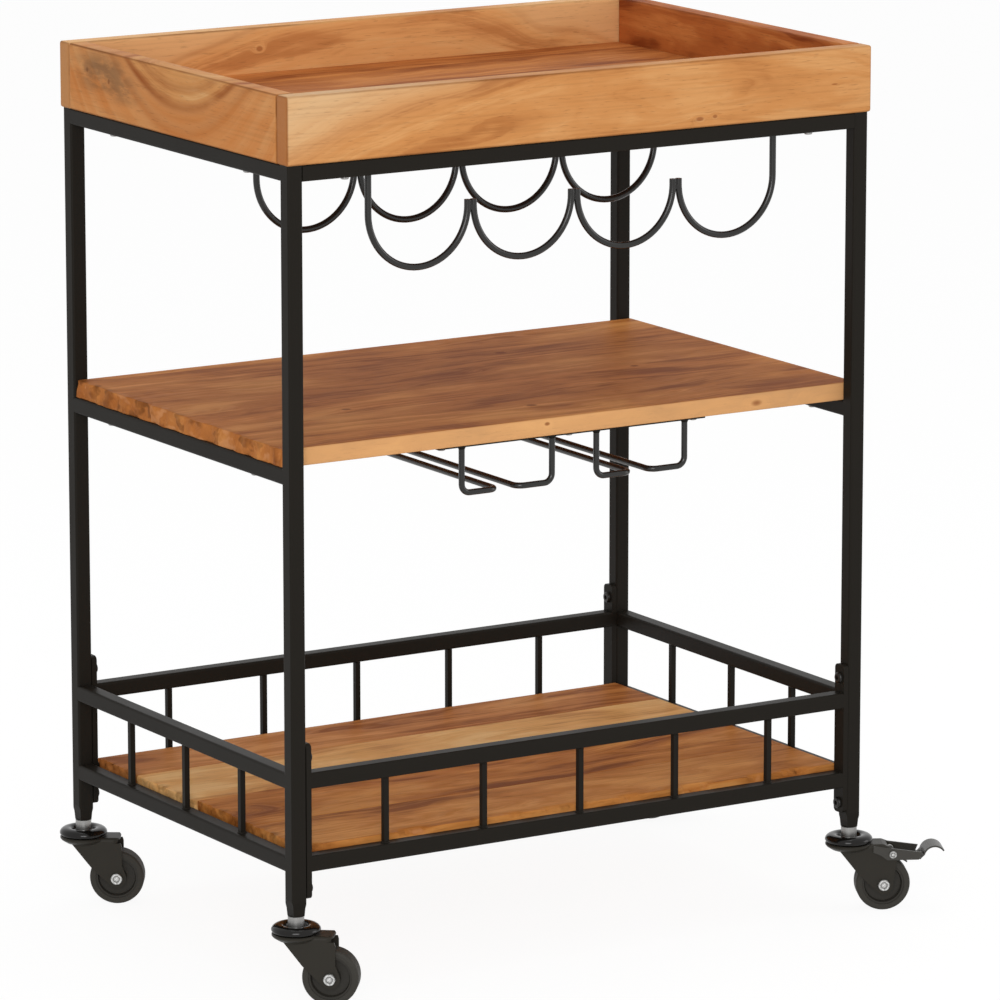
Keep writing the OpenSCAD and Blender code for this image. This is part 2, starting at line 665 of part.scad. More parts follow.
module swivel_balls() color(ZINC) for (i = [0 : 3]) at_caster(i)
    for (k = [0 : balls - 1]) rotate([0, 0, 360 / balls * k])
        translate([ball_ring_r, 0, crown_top + race_gap / 2]) sphere(d = ball_d, $fn = 24);

// Where a line from point p touches a circle of radius r about c, seen from above
function tangent_angle(p, c, r) =
    let (v = p - c) atan2(v.y, v.x) + acos(r / norm(v));

bowl_in = 5.3;
nose = [-9.5, crown_top - crown_h];
axle_at = [caster_trail, axle_z];
brake_at = [brake_x, axle_z + brake_z];
knee = [caster_trail - 24, axle_z + 11];  // bend in the fork's front edge
tail_x = 34.5;
tail_r = 7;
tail_lip = 5;
brake_ear_r = 5;

// Side view of a plain fork
function fork_side() = concat(
    [[nose.x, nose.y], [nose.x, crown_top], [tail_x - 3, crown_top]],
    arc_points(tail_x - 3, crown_top - 3, 3, 90, 0, arc_steps),
    [[tail_x + 1.5, crown_top - tail_lip - 3], [tail_x + 1.5, axle_at.y + 12]],
    arc_points(axle_at.x, axle_at.y, fork_eye_r, 15, tangent_angle(knee, axle_at, fork_eye_r) - 360, 16),
    [knee]
);
// Side view of a fork with ears for the brake's pivot
function brake_fork_side() = concat(
    [[nose.x, nose.y], [nose.x, crown_top], [tail_x - 4, crown_top]],
    arc_points(brake_at.x, brake_at.y, brake_ear_r, 80, -10, 6),
    arc_points(axle_at.x, axle_at.y, fork_eye_r, 8, tangent_angle(knee, axle_at, fork_eye_r) - 360, 16),
    [knee]
);
// Seen from above, the top plate of a plain fork ends in two round corners
module tail_plan() union() {
    linear_extrude(2 * crown_top) polygon(concat(
        [[-2 * crown_r, -2 * fork_out], [0, -2 * fork_out], [0, -fork_out]],
        arc_points(tail_x - tail_r, -fork_out + tail_r, tail_r, -90, 0, 6),
        arc_points(tail_x - tail_r, fork_out - tail_r, tail_r, 0, 90, 6),
        [[0, fork_out], [0, 2 * fork_out], [-2 * crown_r, 2 * fork_out]]));
    translate([0, 0, crown_top - tail_lip - crown_top]) translate([-2 * crown_r, -2 * fork_out, 0])
        cube([4 * crown_r + caster_trail, 4 * fork_out, crown_top]);
}

// The crown is a shallow cup, drawn as half of its section
module crown_cup() translate([0, 0, crown_top - crown_h]) rotate_extrude() polygon([
    [0, crown_h - fork_t], [crown_r - fork_t - 0.6, crown_h - fork_t],
    [crown_r - fork_t - 1.2, crown_h - fork_t - 1.4], [crown_r - bowl_in - fork_t, 0],
    [crown_r - bowl_in, 0], [crown_r - 1.2, crown_h - 3.4], [crown_r, crown_h - 2],
    [crown_r, crown_h - 0.8], [crown_r - 0.8, crown_h], [0, crown_h]
]);

// Pressed fork: a round crown over two side plates bent from the same sheet
module fork(i) {
    braked = len(search(i, BRAKED)) > 0;
    color(DARK) at_caster(i) difference() {
        union() {
            crown_cup();
            intersection() {
                if (!braked) tail_plan();
                else translate([-2 * crown_r, -2 * fork_out, 0])
                    cube([4 * crown_r + caster_trail, 4 * fork_out, 2 * crown_top]);
                rotate([90, 0, 0]) translate([0, 0, -2 * fork_out]) linear_extrude(4 * fork_out)
                    polygon(braked ? brake_fork_side() : fork_side());
                along_x() translate([0, 0, -2 * crown_r]) linear_extrude(5 * crown_r) difference() {
                    polygon(rounded_top(-fork_out, fork_out, 0, crown_top, 3, 3));
                    polygon(rounded_top(-fork_in, fork_in, -1, crown_top - fork_t, 1, 1));
                }
            }
        }
        translate([0, 0, crown_top]) drill(kingpin_d + 2 * fit, 4 * fork_t);
        translate([axle_at.x, 0, axle_at.y]) rotate([90, 0, 0]) drill(axle_d + 2 * fit, 4 * fork_out);
        if (braked) translate([brake_at.x, 0, brake_at.y]) rotate([90, 0, 0])
            drill(brake_pin_d + 2 * fit, 4 * fork_out);
    }
}

nut_h = 4.5;
axle_head_h = 3;

// Axle bolt and its nut
module axle(i) color(ZINC) at_axle(i) {
    translate([0, 0, -fork_out]) {
        cylinder(d = axle_d, h = 2 * fork_out + nut_h + 1);
        difference() {
            intersection() {
                translate([0, 0, -axle_head_h]) cylinder(d = nut_af / cos(30), h = axle_head_h, $fn = 6);
                translate([0, 0, -axle_head_h])
                    cylinder(d1 = nut_af + 0.2, d2 = nut_af / cos(30) + axle_head_h, h = axle_head_h);
            }
            translate([0, 0, -axle_head_h - 1]) cylinder(d = axle_d, h = 1.5);
        }
    }
    translate([0, 0, fork_out]) intersection() {
        difference() {
            cylinder(d = nut_af / cos(30), h = nut_h, $fn = 6);
            translate([0, 0, -1]) cylinder(d = axle_d + 2 * fit, h = nut_h + 2);
        }
        cylinder(d1 = nut_af / cos(30) + nut_h, d2 = nut_af + 0.6, h = nut_h);
    }
}

module bush(i) color(ZINC) at_axle(i) difference() {
    drill(bush_d, 2 * fork_in);
    drill(axle_d + 2 * fit, 4 * fork_in);
}

hub_r = wheel_d / 2 - tyre_t;

// Moulded hub with a hollow on each side
module hub(i) color(DARK) at_axle(i) rotate_extrude() {
    hw = wheel_w / 2;
    boss = bush_d / 2 + 3.5;
    polygon([
        [bush_d / 2 + fit, -fork_in + part_gap], [boss, -fork_in + part_gap],
        [boss + 1, -hw / 2], [hub_r - 3, -hw / 2], [hub_r - 2, -hw + 1], [hub_r, -hw + 1],
        [hub_r, hw - 1], [hub_r - 2, hw - 1], [hub_r - 3, hw / 2], [boss + 1, hw / 2],
        [boss, fork_in - part_gap], [bush_d / 2 + fit, fork_in - part_gap]
    ]);
}

module tyre(i) color(DARK) at_axle(i) rotate_extrude()
    translate([hub_r + tyre_t / 2, 0]) polygon(concat(
        [[-tyre_t / 2, -wheel_w / 2], [0, -wheel_w / 2]],
        arc_points(0, -wheel_w / 2 + tyre_t / 2, tyre_t / 2, -90, 0, 5),
        arc_points(0, wheel_w / 2 - tyre_t / 2, tyre_t / 2, 0, 90, 5),
        [[-tyre_t / 2, wheel_w / 2]]
    ));

// ---- brakes ----------------------------------------------------------------

lever_in = fork_out + part_gap;
lever_out = lever_in + lever_t;

// Side view of the lever's two cheeks, about its pivot
function cheek_side() = [
    [-18, 2], [-18, 8], [lever_l, 1.5], [lever_l - 3, -5.5], [-5, -5.5], [-11, -1]
];
// Side view of the floor between the cheeks
floor_z = -3.7;
floor_side = [[6.5, floor_z], [lever_l - 1, floor_z],
              [lever_l - 1, floor_z - lever_t], [6.5, floor_z - lever_t]];
// Side view of the toe tab that curls up behind the floor
function toe_side() = concat(
    [[lever_l - 6, floor_z], [lever_l - 1, floor_z]],
    arc_points(lever_l + toe_r + 1, -4, toe_r, 165, 35, 12),
    arc_points(lever_l + toe_r + 1, -4, toe_r - lever_t, 35, 165, 12),
    [[lever_l - 1, floor_z - lever_t], [lever_l - 6, floor_z - lever_t]]
);
// Side view of the brake's tongue over the tyre
shoe_side = [[6.5, floor_z - lever_t / 2], [8.2, floor_z - lever_t / 2], [9.8, -5.6],
             [14.6, -8.8], [14.2, -10], [8.9, -6.7]];

module brake_lever(i) color(DARK) at_caster(i) translate([brake_at.x, 0, brake_at.y]) rotate([90, 0, 0]) {
    difference() {
        union() {
            for (s = [-1, 1]) translate([0, 0, s * (lever_in + lever_out) / 2 - lever_t / 2])
                linear_extrude(lever_t) polygon(cheek_side());
            translate([0, 0, -lever_in - lever_t / 2]) linear_extrude(2 * lever_in + lever_t)
                polygon(floor_side);
            translate([0, 0, -fork_out]) linear_extrude(2 * fork_out) polygon(toe_side());
            translate([0, 0, -fork_in * 0.6]) linear_extrude(1.2 * fork_in) polygon(shoe_side);
        }
        drill(brake_pin_d + 2 * fit, 4 * lever_out);
    }
}

module brake_pin(i) color(ZINC) at_caster(i) translate([brake_at.x, 0, brake_at.y]) rotate([90, 0, 0]) {
    pin_l = 2 * (lever_out + part_gap);
    drill(brake_pin_d, pin_l);
    for (s = [-1, 1]) translate([0, 0, s * (pin_l / 2 + 0.7)])
        cylinder(d = brake_pin_d + 3, h = 1.4, center = true);
}

// ---- nodes -----------------------------------------------------------------

side_frame(-1);  // side_frame_left
side_frame(1);  // side_frame_right
top_rail(-1);  // top_rail_front
top_rail(1);  // top_rail_rear
corner_brackets();
bracket_screws();
basket_panel(-1);  // basket_panel_front
basket_panel(1);  // basket_panel_rear
basket_bolts();
rivet_nuts();
leg_plugs();
tray_long(-1);  // tray_front
tray_long(1);  // tray_rear
tray_short(-1);  // tray_left
tray_short(1);  // tray_right
tray_floor();
tray_screws();
middle_shelf();
middle_shelf_screws();
for (i = [0 : 3]) bottom_board(i);
board_bearers();
bottom_board_screws();
bottle_rack_front();
bottle_rack_rear();
glass_rack(-1);  // glass_rack_left
glass_rack(1);  // glass_rack_right
glass_rack_strips();
rack_screws();
caster_stems();
caster_caps();
swivel_balls();
for (i = [0 : 3]) fork(i);
for (i = [0 : 3]) axle(i);
for (i = [0 : 3]) bush(i);
for (i = [0 : 3]) hub(i);
for (i = [0 : 3]) tyre(i);
for (i = BRAKED) brake_lever(i);
for (i = BRAKED) brake_pin(i);
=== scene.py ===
# %% [markdown]
# # A bar cart on wheels
# The cart has a black steel frame, a wooden tray and two wooden shelves, hanging racks for
# bottles and stemware, and four swivel casters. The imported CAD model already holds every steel
# and wooden part at its true size, so it is loaded first and never moved. This lesson adds what
# the CAD leaves out: the finishes, the weld beads, eased and torn board edges and small springs.

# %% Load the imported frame
import json
import math

import bpy
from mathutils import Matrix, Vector


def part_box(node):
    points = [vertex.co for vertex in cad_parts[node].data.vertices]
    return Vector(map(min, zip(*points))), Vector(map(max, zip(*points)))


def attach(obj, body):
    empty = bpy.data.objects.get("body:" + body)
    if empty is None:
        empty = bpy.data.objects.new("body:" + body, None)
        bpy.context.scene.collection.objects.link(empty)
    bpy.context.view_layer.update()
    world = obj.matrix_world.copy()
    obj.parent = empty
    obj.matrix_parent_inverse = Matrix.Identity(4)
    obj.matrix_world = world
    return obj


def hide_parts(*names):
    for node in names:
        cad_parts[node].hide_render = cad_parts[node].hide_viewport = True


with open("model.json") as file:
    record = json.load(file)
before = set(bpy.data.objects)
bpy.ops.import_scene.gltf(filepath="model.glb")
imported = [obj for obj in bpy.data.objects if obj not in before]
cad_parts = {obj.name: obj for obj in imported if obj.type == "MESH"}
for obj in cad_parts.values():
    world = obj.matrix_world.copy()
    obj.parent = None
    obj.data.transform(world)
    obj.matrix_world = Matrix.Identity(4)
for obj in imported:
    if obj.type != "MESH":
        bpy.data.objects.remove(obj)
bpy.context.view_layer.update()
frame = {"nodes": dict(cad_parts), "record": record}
nodes = frame["nodes"]

# %% [markdown]
# ## The camera
# A product shot is taken from a few metres away with a long lens, so that the upright legs stay
# nearly parallel. A short lens from close by would spread the casters apart. The camera stands
# in front of the cart's left end, a little above the tray, and looks down at about twelve degrees.

# %% Set up the camera
scene = bpy.context.scene
camera_place = (-3.0741, -5.0321, 1.6225)
camera_turn = math.radians(31.73)
camera_dip = math.radians(11.89)

camera_data = bpy.data.cameras.new("studio_camera")
camera_data.sensor_width = 36
camera_data.lens = 238.4
camera_data.clip_end = 60
camera = bpy.data.objects.new("studio_camera", camera_data)
camera.location = camera_place
camera.rotation_euler = (math.pi / 2 - camera_dip, 0, -camera_turn)
scene.collection.objects.link(camera)
scene.camera = camera
print("lens:", camera_data.lens, "mm")

# %% [markdown]
# ## Studio light and floor
# Black steel shows little colour of its own: it is seen by what it mirrors. A white room gives
# pale top faces and dark sides. So the world has two strengths: rays that gather light meet the
# weaker one, and rays from the camera, a mirror or glass meet plain white.

# %% Tell seen rays from gathered light
scene.view_settings.view_transform = "Standard"


def add_nodes(tree, *kinds):
    """New nodes of these kinds, in this order."""
    return [tree.nodes.new(kind) for kind in kinds]


def seen_rays(tree):
    """1 for rays from the camera, a mirror or glass, and 0 for rays that gather light."""
    path, first, both = add_nodes(tree, "ShaderNodeLightPath", "ShaderNodeMath", "ShaderNodeMath")
    first.operation = both.operation = "MAXIMUM"
    tree.links.new(path.outputs["Is Camera Ray"], first.inputs[0])
    tree.links.new(path.outputs["Is Glossy Ray"], first.inputs[1])
    tree.links.new(first.outputs[0], both.inputs[0])
    tree.links.new(path.outputs["Is Transmission Ray"], both.inputs[1])
    return both.outputs[0]


# %% Paint the room white
gathered_light = 0.55
white = (1, 1, 1, 1)

room = bpy.data.worlds.new("white_room")
scene.world = room
room.use_nodes = True
room_tree = room.node_tree
room_tree.nodes.clear()
room_light, room_seen, room_mix, room_out = add_nodes(
    room_tree, "ShaderNodeBackground", "ShaderNodeBackground", "ShaderNodeMixShader", "ShaderNodeOutputWorld")
for background, strength in ((room_light, gathered_light), (room_seen, 1.0)):
    background.inputs["Color"].default_value = white
    background.inputs["Strength"].default_value = strength
for socket, source in zip(room_mix.inputs, (seen_rays(room_tree), room_light.outputs[0], room_seen.outputs[0])):
    room_tree.links.new(source, socket)
room_tree.links.new(room_mix.outputs[0], room_out.inputs[0])
print("light from the room:", gathered_light)

# %% [markdown]
# The room gives about half of the light. One large soft lamp stands off the near left corner, so
# that the front and the left side are lit almost alike. A weaker one on the right and one above
# open the shadows.

# %% Hang three soft lamps
cart_middle = Vector((0, 0, 0.4))


def soft_lamp(name, place, size, watts):
    """A square lamp that faces the cart."""
    light = bpy.data.lights.new(name, "AREA")
    light.size = size
    light.energy = watts
    lamp = bpy.data.objects.new(name, light)
    lamp.location = place
    lamp.rotation_euler = (cart_middle - Vector(place)).to_track_quat("-Z", "Y").to_euler()
    scene.collection.objects.link(lamp)
    print(name, watts, "W")


soft_lamp("key_lamp", (-2.3, -3.6, 1.7), 2.0, 78)
soft_lamp("side_lamp", (3.2, -1.8, 1.1), 1.6, 18)
soft_lamp("top_lamp", (0.2, 0.2, 3.2), 1.6, 15)

# %% [markdown]
# The floor is one large sheet of white paper. Seen by the camera it is mostly plain white, so
# the background stays even, and a part of its shading is kept so that the wheels touch ground.

# %% Lay the floor
floor_reach = 40
paper_grey = 0.9
plain_white = 1.05
plain_share = 0.87

floor_mesh = bpy.data.meshes.new("studio_floor")
corners = [(x * floor_reach, y * floor_reach, 0) for x, y in ((-1, -1), (1, -1), (1, 1), (-1, 1))]
floor_mesh.from_pydata(corners, [], [(0, 1, 2, 3)])
floor = bpy.data.objects.new("studio_floor", floor_mesh)
scene.collection.objects.link(floor)
paper = bpy.data.materials.new("white_paper")
paper.use_nodes = True
paper_tree = paper.node_tree
paper_tree.nodes.clear()
paper_matte, paper_plain, paper_share, paper_mix, paper_out = add_nodes(
    paper_tree, "ShaderNodeBsdfDiffuse", "ShaderNodeEmission", "ShaderNodeMath", "ShaderNodeMixShader",
    "ShaderNodeOutputMaterial")
paper_matte.inputs["Color"].default_value = (paper_grey, paper_grey, paper_grey, 1)
paper_plain.inputs["Strength"].default_value = plain_white
paper_share.operation = "MULTIPLY"
paper_share.inputs[1].default_value = plain_share
paper_tree.links.new(seen_rays(paper_tree), paper_share.inputs[0])
for socket, node in zip(paper_mix.inputs, (paper_share, paper_matte, paper_plain)):
    paper_tree.links.new(node.outputs[0], socket)
paper_tree.links.new(paper_mix.outputs[0], paper_out.inputs[0])
floor_mesh.materials.append(paper)
print("floor reaches", floor_reach, "m")

# %% [markdown]
# ## Helpers for building node trees
# Every finish below is made of shader nodes. A few short helpers keep the trees readable: one
# starts a node group with named sockets, others add one node, link it and give back its output.

# %% Groups, numbers and vectors
def start_group(name, inputs, outputs):
    """An empty shader group. inputs and outputs are (label, kind, value) with kind Float, Vector or Color."""
    tree = bpy.data.node_groups.new(name, "ShaderNodeTree")
    for label, kind, value in inputs:
        socket = tree.interface.new_socket(label, in_out="INPUT", socket_type="NodeSocket" + kind)
        if value is not None:
            socket.default_value = value
    for label, kind in outputs:
        tree.interface.new_socket(label, in_out="OUTPUT", socket_type="NodeSocket" + kind)
    return tree, tree.nodes.new("NodeGroupInput").outputs, tree.nodes.new("NodeGroupOutput").inputs


def feed(tree, socket, value):
    """Links an output socket to an input, or writes a plain number or vector into it."""
    if isinstance(value, bpy.types.NodeSocket):
        tree.links.new(value, socket)
    else:
        socket.default_value = value


def calc(tree, operation, *values, clamp=False):
    """A math node."""
    node = tree.nodes.new("ShaderNodeMath")
    node.operation = operation
    node.use_clamp = clamp
    for socket, value in zip(node.inputs, values):
        feed(tree, socket, value)
    return node.outputs[0]


def vcalc(tree, operation, *values):
    """A vector math node. A length is a number, any other result a vector."""
    node = tree.nodes.new("ShaderNodeVectorMath")
    node.operation = operation
    for socket, value in zip(node.inputs, values):
        feed(tree, socket, value)
    return node.outputs["Value" if operation == "LENGTH" else "Vector"]


# %% Noise, soft steps and bells
def spread(tree, value, low, high):
    """Maps low..high smoothly onto 0..1."""
    node = tree.nodes.new("ShaderNodeMapRange")
    node.interpolation_type = "SMOOTHSTEP"
    for key, item in zip(("Value", "From Min", "From Max"), (value, low, high)):
        feed(tree, node.inputs[key], item)
    return node.outputs[0]


def bell(tree, value):
    """1 where the value is 0, falling away smoothly on both sides."""
    return calc(tree, "EXPONENT", calc(tree, "MULTIPLY", calc(tree, "MULTIPLY", value, value), -1.0))


def noise(tree, vector, scale, detail=2.0, rough=0.5, flat=None):
    """Fractal noise: over space, or over one number when flat is given."""
    node = tree.nodes.new("ShaderNodeTexNoise")
    if flat is not None:
        node.noise_dimensions = "1D"
        feed(tree, node.inputs["W"], flat)
    else:
        feed(tree, node.inputs["Vector"], vector)
    node.inputs["Scale"].default_value = scale
    node.inputs["Detail"].default_value = detail
    node.inputs["Roughness"].default_value = rough
    return node.outputs


def stretched_noise(tree, place, stretch, detail, rough):
    """Noise from 0 to 1 with its own scale, in waves per metre, along each axis."""
    return noise(tree, vcalc(tree, "MULTIPLY", place, stretch), 1.0, detail, rough)["Fac"]


# %% Colours and materials
def blend_colours(tree, share, a, b, mode="MIX"):
    """A colour mix node."""
    node = tree.nodes.new("ShaderNodeMix")
    node.data_type = "RGBA"
    node.blend_type = mode
    feed(tree, node.inputs[0], share)
    for socket, value in ((node.inputs[6], a), (node.inputs[7], b)):
        feed(tree, socket, value if isinstance(value, bpy.types.NodeSocket) else (*value[:3], 1))
    return node.outputs[2]


def linear(r, g, b):
    """A colour as seen on a screen, from 0 to 255, as the linear values that shaders use."""
    return tuple((c / 255 / 12.92) if c <= 10 else ((c / 255 + 0.055) / 1.055) ** 2.4 for c in (r, g, b))


def darker(colour, *shares):
    """A colour with each channel cut to its share, or all to one share."""
    return tuple(c * share for c, share in zip(colour, shares * 3 if len(shares) == 1 else shares))


def start_material(name, colour, rough, metallic=0.0, gloss=0.5):
    """A material with one Principled shader. Gives the material, its tree and the shader."""
    material = bpy.data.materials.new(name)
    material.use_nodes = True
    tree = material.node_tree
    shader = tree.nodes["Principled BSDF"]
    shader.inputs["Base Color"].default_value = (*colour, 1)
    shader.inputs["Roughness"].default_value = rough
    shader.inputs["Metallic"].default_value = metallic
    shader.inputs["Specular IOR Level"].default_value = gloss
    return material, tree, shader


def use_group(tree, group, **values):
    """Places a group in a tree; a key's underscores stand for spaces in its socket's label."""
    node = tree.nodes.new("ShaderNodeGroup")
    node.node_tree = group
    for key, value in values.items():
        feed(tree, node.inputs[key.replace("_", " ")], value)
    return node.outputs


def bump(tree, shader, height, distance):
    """Small relief. height runs from 0 to 1 and distance is its depth in metres."""
    node = tree.nodes.new("ShaderNodeBump")
    node.inputs["Strength"].default_value = 1.0
    node.inputs["Distance"].default_value = distance
    tree.links.new(height, node.inputs["Height"])
    tree.links.new(node.outputs[0], shader.inputs["Normal"])


# %% [markdown]
# ## Wood
# The boards are a golden hardwood with lively figure. A picture wrapped round a board would repeat
# and would not turn the corner onto the end grain. Real figure comes from growth rings round the
# log's middle, cut flat by the saw, so the shader does the same: it measures how far each point
# lies from the middle of a wavering log and paints bands by that distance. Rings then turn into
# arches on the face, straight lines on the edge and arcs on the end by themselves.
#
# A branch or a bend in the trunk pushes the rings aside, so a second group gives that push.

# %% A swirl: the place where a branch pushes the rings aside
swirl_group, g_in, g_out = start_group(
    "grain_swirl",
    [("Place", "Vector", None), ("Centre", "Vector", (0, 0, 0)), ("Size", "Vector", (0.05, 0.02, 0.02)),
     ("Push", "Float", 0.02)],
    [("Push", "Float"), ("Core", "Float")],
)
away = vcalc(swirl_group, "DIVIDE", vcalc(swirl_group, "SUBTRACT", g_in["Place"], g_in["Centre"]), g_in["Size"])
far = vcalc(swirl_group, "LENGTH", away)
feed(swirl_group, g_out["Push"], calc(swirl_group, "MULTIPLY", bell(swirl_group, far), g_in["Push"]))
feed(swirl_group, g_out["Core"], spread(swirl_group, far, 0.75, 0.35))
print(swirl_group.name, "has", len(swirl_group.nodes), "nodes")

# %% [markdown]
# The log's middle wanders slowly, and bow bends it sideways along its length. Fibres are stretched
# along the grain. Push adds what swirls and knots do to the rings.

# %% The log: how deep under the bark each point lies
log_group, g_in, g_out = start_group(
    "sawn_log",
    [("Place", "Vector", None), ("Middle", "Vector", (0, 0.02, 0.05)), ("Bow", "Float", 0.0),
     ("Waver", "Float", 0.02), ("Push", "Float", 0.0), ("Seed", "Float", 0.0), ("Band", "Float", 60.0)],
    [("Depth", "Float"), ("Broad", "Float"), ("Streak", "Float"), ("Cloud", "Float"), ("Line", "Float"),
     ("Fibre", "Float"), ("Pore", "Float")],
)
seeded = vcalc(log_group, "ADD", g_in["Place"], vcalc(log_group, "MULTIPLY", g_in["Seed"], (1.7, 0.9, 1.3)))
slow = noise(log_group, vcalc(log_group, "MULTIPLY", seeded, (0.9, 3.0, 3.0)), 3.2, 3.0, 0.5)["Color"]
drift = vcalc(log_group, "MULTIPLY", vcalc(log_group, "SUBTRACT", slow, (0.5, 0.5, 0.5)), g_in["Waver"])
from_middle = vcalc(log_group, "SUBTRACT", g_in["Place"], g_in["Middle"])
off_middle, across = add_nodes(log_group, "ShaderNodeSeparateXYZ", "ShaderNodeCombineXYZ")
feed(log_group, off_middle.inputs[0], vcalc(log_group, "ADD", from_middle, drift))
lengthwise = off_middle.outputs[0]
bend = calc(log_group, "MULTIPLY", calc(log_group, "MULTIPLY", lengthwise, lengthwise), g_in["Bow"])
feed(log_group, across.inputs[1], off_middle.outputs[1])
feed(log_group, across.inputs[2], calc(log_group, "ADD", off_middle.outputs[2], bend))
depth = calc(log_group, "ADD", vcalc(log_group, "LENGTH", across.outputs[0]), g_in["Push"])
fibre = stretched_noise(log_group, seeded, (8, 380, 380), 3.0, 0.6)
feed(log_group, g_out["Depth"], depth)
feed(log_group, g_out["Fibre"], fibre)

# %% [markdown]
# Four patterns follow from the depth. Broad bands are seasons, lines are single rings, streaks are
# rings that fade in and out along the grain, and clouds are darker patches. Pores are the short
# open vessels that show as fine dark dashes.

# %% Bands, lines, streaks, clouds and pores
fibre_ripple = 0.0015
rippled = calc(log_group, "ADD", depth, calc(log_group, "MULTIPLY", fibre, fibre_ripple))
ring_place = calc(log_group, "ADD", calc(log_group, "MULTIPLY", rippled, g_in["Band"]), g_in["Seed"])
along = log_group.nodes.new("ShaderNodeCombineXYZ")
feed(log_group, along.inputs[0], calc(log_group, "MULTIPLY", lengthwise, 4.5))
feed(log_group, along.inputs[1], calc(log_group, "MULTIPLY", ring_place, 1.5))
feed(log_group, along.inputs[2], g_in["Seed"])
cloud_place = vcalc(log_group, "ADD", vcalc(log_group, "MULTIPLY", seeded, (5, 17, 17)),
                    vcalc(log_group, "MULTIPLY", slow, (0, 2.2, 2.2)))
for label, pattern, low, high in (
        ("Broad", noise(log_group, None, 1.0, 1.0, 0.5, flat=ring_place)["Fac"], 0.3, 0.7),
        ("Line", noise(log_group, None, 7.0, 3.0, 0.6, flat=ring_place)["Fac"], 0.3, 0.7),
        ("Streak", noise(log_group, along.outputs[0], 1.0, 4.0, 0.62)["Fac"], 0.32, 0.7),
        ("Cloud", noise(log_group, cloud_place, 1.0, 4.0, 0.6)["Fac"], 0.33, 0.67),
        ("Pore", stretched_noise(log_group, seeded, (75, 950, 950), 1.0, 0.5), 0.63, 0.74)):
    feed(log_group, g_out[label], spread(log_group, pattern, low, high))
print(log_group.name, "has", len(log_group.nodes), "nodes")

# %% [markdown]
# ### From the log to a board
# A board is a window into the log. A mapping puts the board's middle at the origin with the grain
# along x. Some boards are glued up from strips, each from another part of the log, so every strip
# shifts its window by its own luck and is a little lighter or darker than the next.

# %% Lay the grain along a board
strip_shift = (0.45, 0.02, 0.012)
strip_start = 0.013


def board_axes(tree, node, turn):
    """Places measured from the board's middle with the grain along x, their x, y and z, and the board's
    half length and half depth."""
    low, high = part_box(node)
    where, shift, parts = add_nodes(tree, "ShaderNodeTexCoord", "ShaderNodeMapping", "ShaderNodeSeparateXYZ")
    shift.inputs["Location"].default_value = tuple(-c for c in (low + high) / 2)
    tree.links.new(where.outputs["Object"], shift.inputs["Vector"])
    place = shift.outputs["Vector"]
    if turn:
        spin = tree.nodes.new("ShaderNodeMapping")
        spin.inputs["Rotation"].default_value = (0, 0, math.radians(turn))
        tree.links.new(place, spin.inputs["Vector"])
        place = spin.outputs["Vector"]
    tree.links.new(place, parts.inputs[0])
    length = high.y - low.y if turn else high.x - low.x
    return place, parts.outputs, length / 2, (high.y - low.y) / 2


def glued_strips(tree, place, across, width, seed):
    """Shifts the figure from strip to strip and gives each strip a tone from 0 to 1."""
    first = calc(tree, "ADD", across, 10 * width + strip_start)
    number = calc(tree, "FLOOR", calc(tree, "DIVIDE", first, width))
    luck = tree.nodes.new("ShaderNodeTexWhiteNoise")
    luck.noise_dimensions = "1D"
    tree.links.new(calc(tree, "ADD", number, seed), luck.inputs["W"])
    shift = vcalc(tree, "MULTIPLY", luck.outputs["Color"], strip_shift)
    return vcalc(tree, "ADD", place, shift), luck.outputs["Value"]


def branch_marks(tree, place, swirls, knots):
    """How far swirls and knots push the rings, and a mask of the knots' dark cores."""
    push, core = 0.0, None
    for number, (centre, size, strength) in enumerate([*swirls, *knots]):
        swirl = use_group(tree, swirl_group, Place=place, Centre=centre, Size=size, Push=strength)
        push = calc(tree, "ADD", push, swirl["Push"]) if number else swirl["Push"]
        if number >= len(swirls):
            core = swirl["Core"] if core is None else calc(tree, "MAXIMUM", core, swirl["Core"])
    return push, core


# %% [markdown]
# Sapwood is the cream outer wood of the log, so it begins where the depth passes the edge of the
# heart. Heartwood runs from pale through light to dark as its marks add up. A dark ring is a single
# season that stained the wood. Hairs are the darkest fibres.

# %% Colour heartwood and sapwood
line_share = 0.12
sap_marks = 0.45


def figured_wood(tree, log, colours, heart, edge, mix, contrast):
    """The colour of clean wood. mix is the share of broad bands, streaks and clouds."""
    sap, pale, light, dark = colours
    marks = calc(tree, "MULTIPLY", log["Broad"], mix[0])
    for label, share in (("Streak", mix[1]), ("Cloud", mix[2])):
        marks = calc(tree, "MULTIPLY_ADD", log[label], share, marks)
    marks = calc(tree, "MULTIPLY_ADD", calc(tree, "SUBTRACT", log["Line"], 0.5), line_share, marks)
    marks = calc(tree, "MULTIPLY_ADD", calc(tree, "SUBTRACT", marks, 0.5), contrast, 0.5, clamp=True)
    wood = blend_colours(tree, spread(tree, marks, 0.0, 0.52), pale, light)
    wood = blend_colours(tree, spread(tree, marks, 0.48, 1.0), wood, dark)
    rind = blend_colours(tree, calc(tree, "MULTIPLY", marks, sap_marks), sap, pale)
    return blend_colours(tree, spread(tree, log["Depth"], heart + edge, heart - edge), rind, wood)


def toned(tree, colour, tone, differ):
    """Lightens and darkens a colour by as much as the strips differ."""
    shade = calc(tree, "MULTIPLY_ADD", tone, 2 * differ, 1 - differ)
    grey = tree.nodes.new("ShaderNodeCombineColor")
    for socket in grey.inputs[:3]:
        tree.links.new(shade, socket)
    return blend_colours(tree, 1.0, colour, grey.outputs[0], "MULTIPLY")


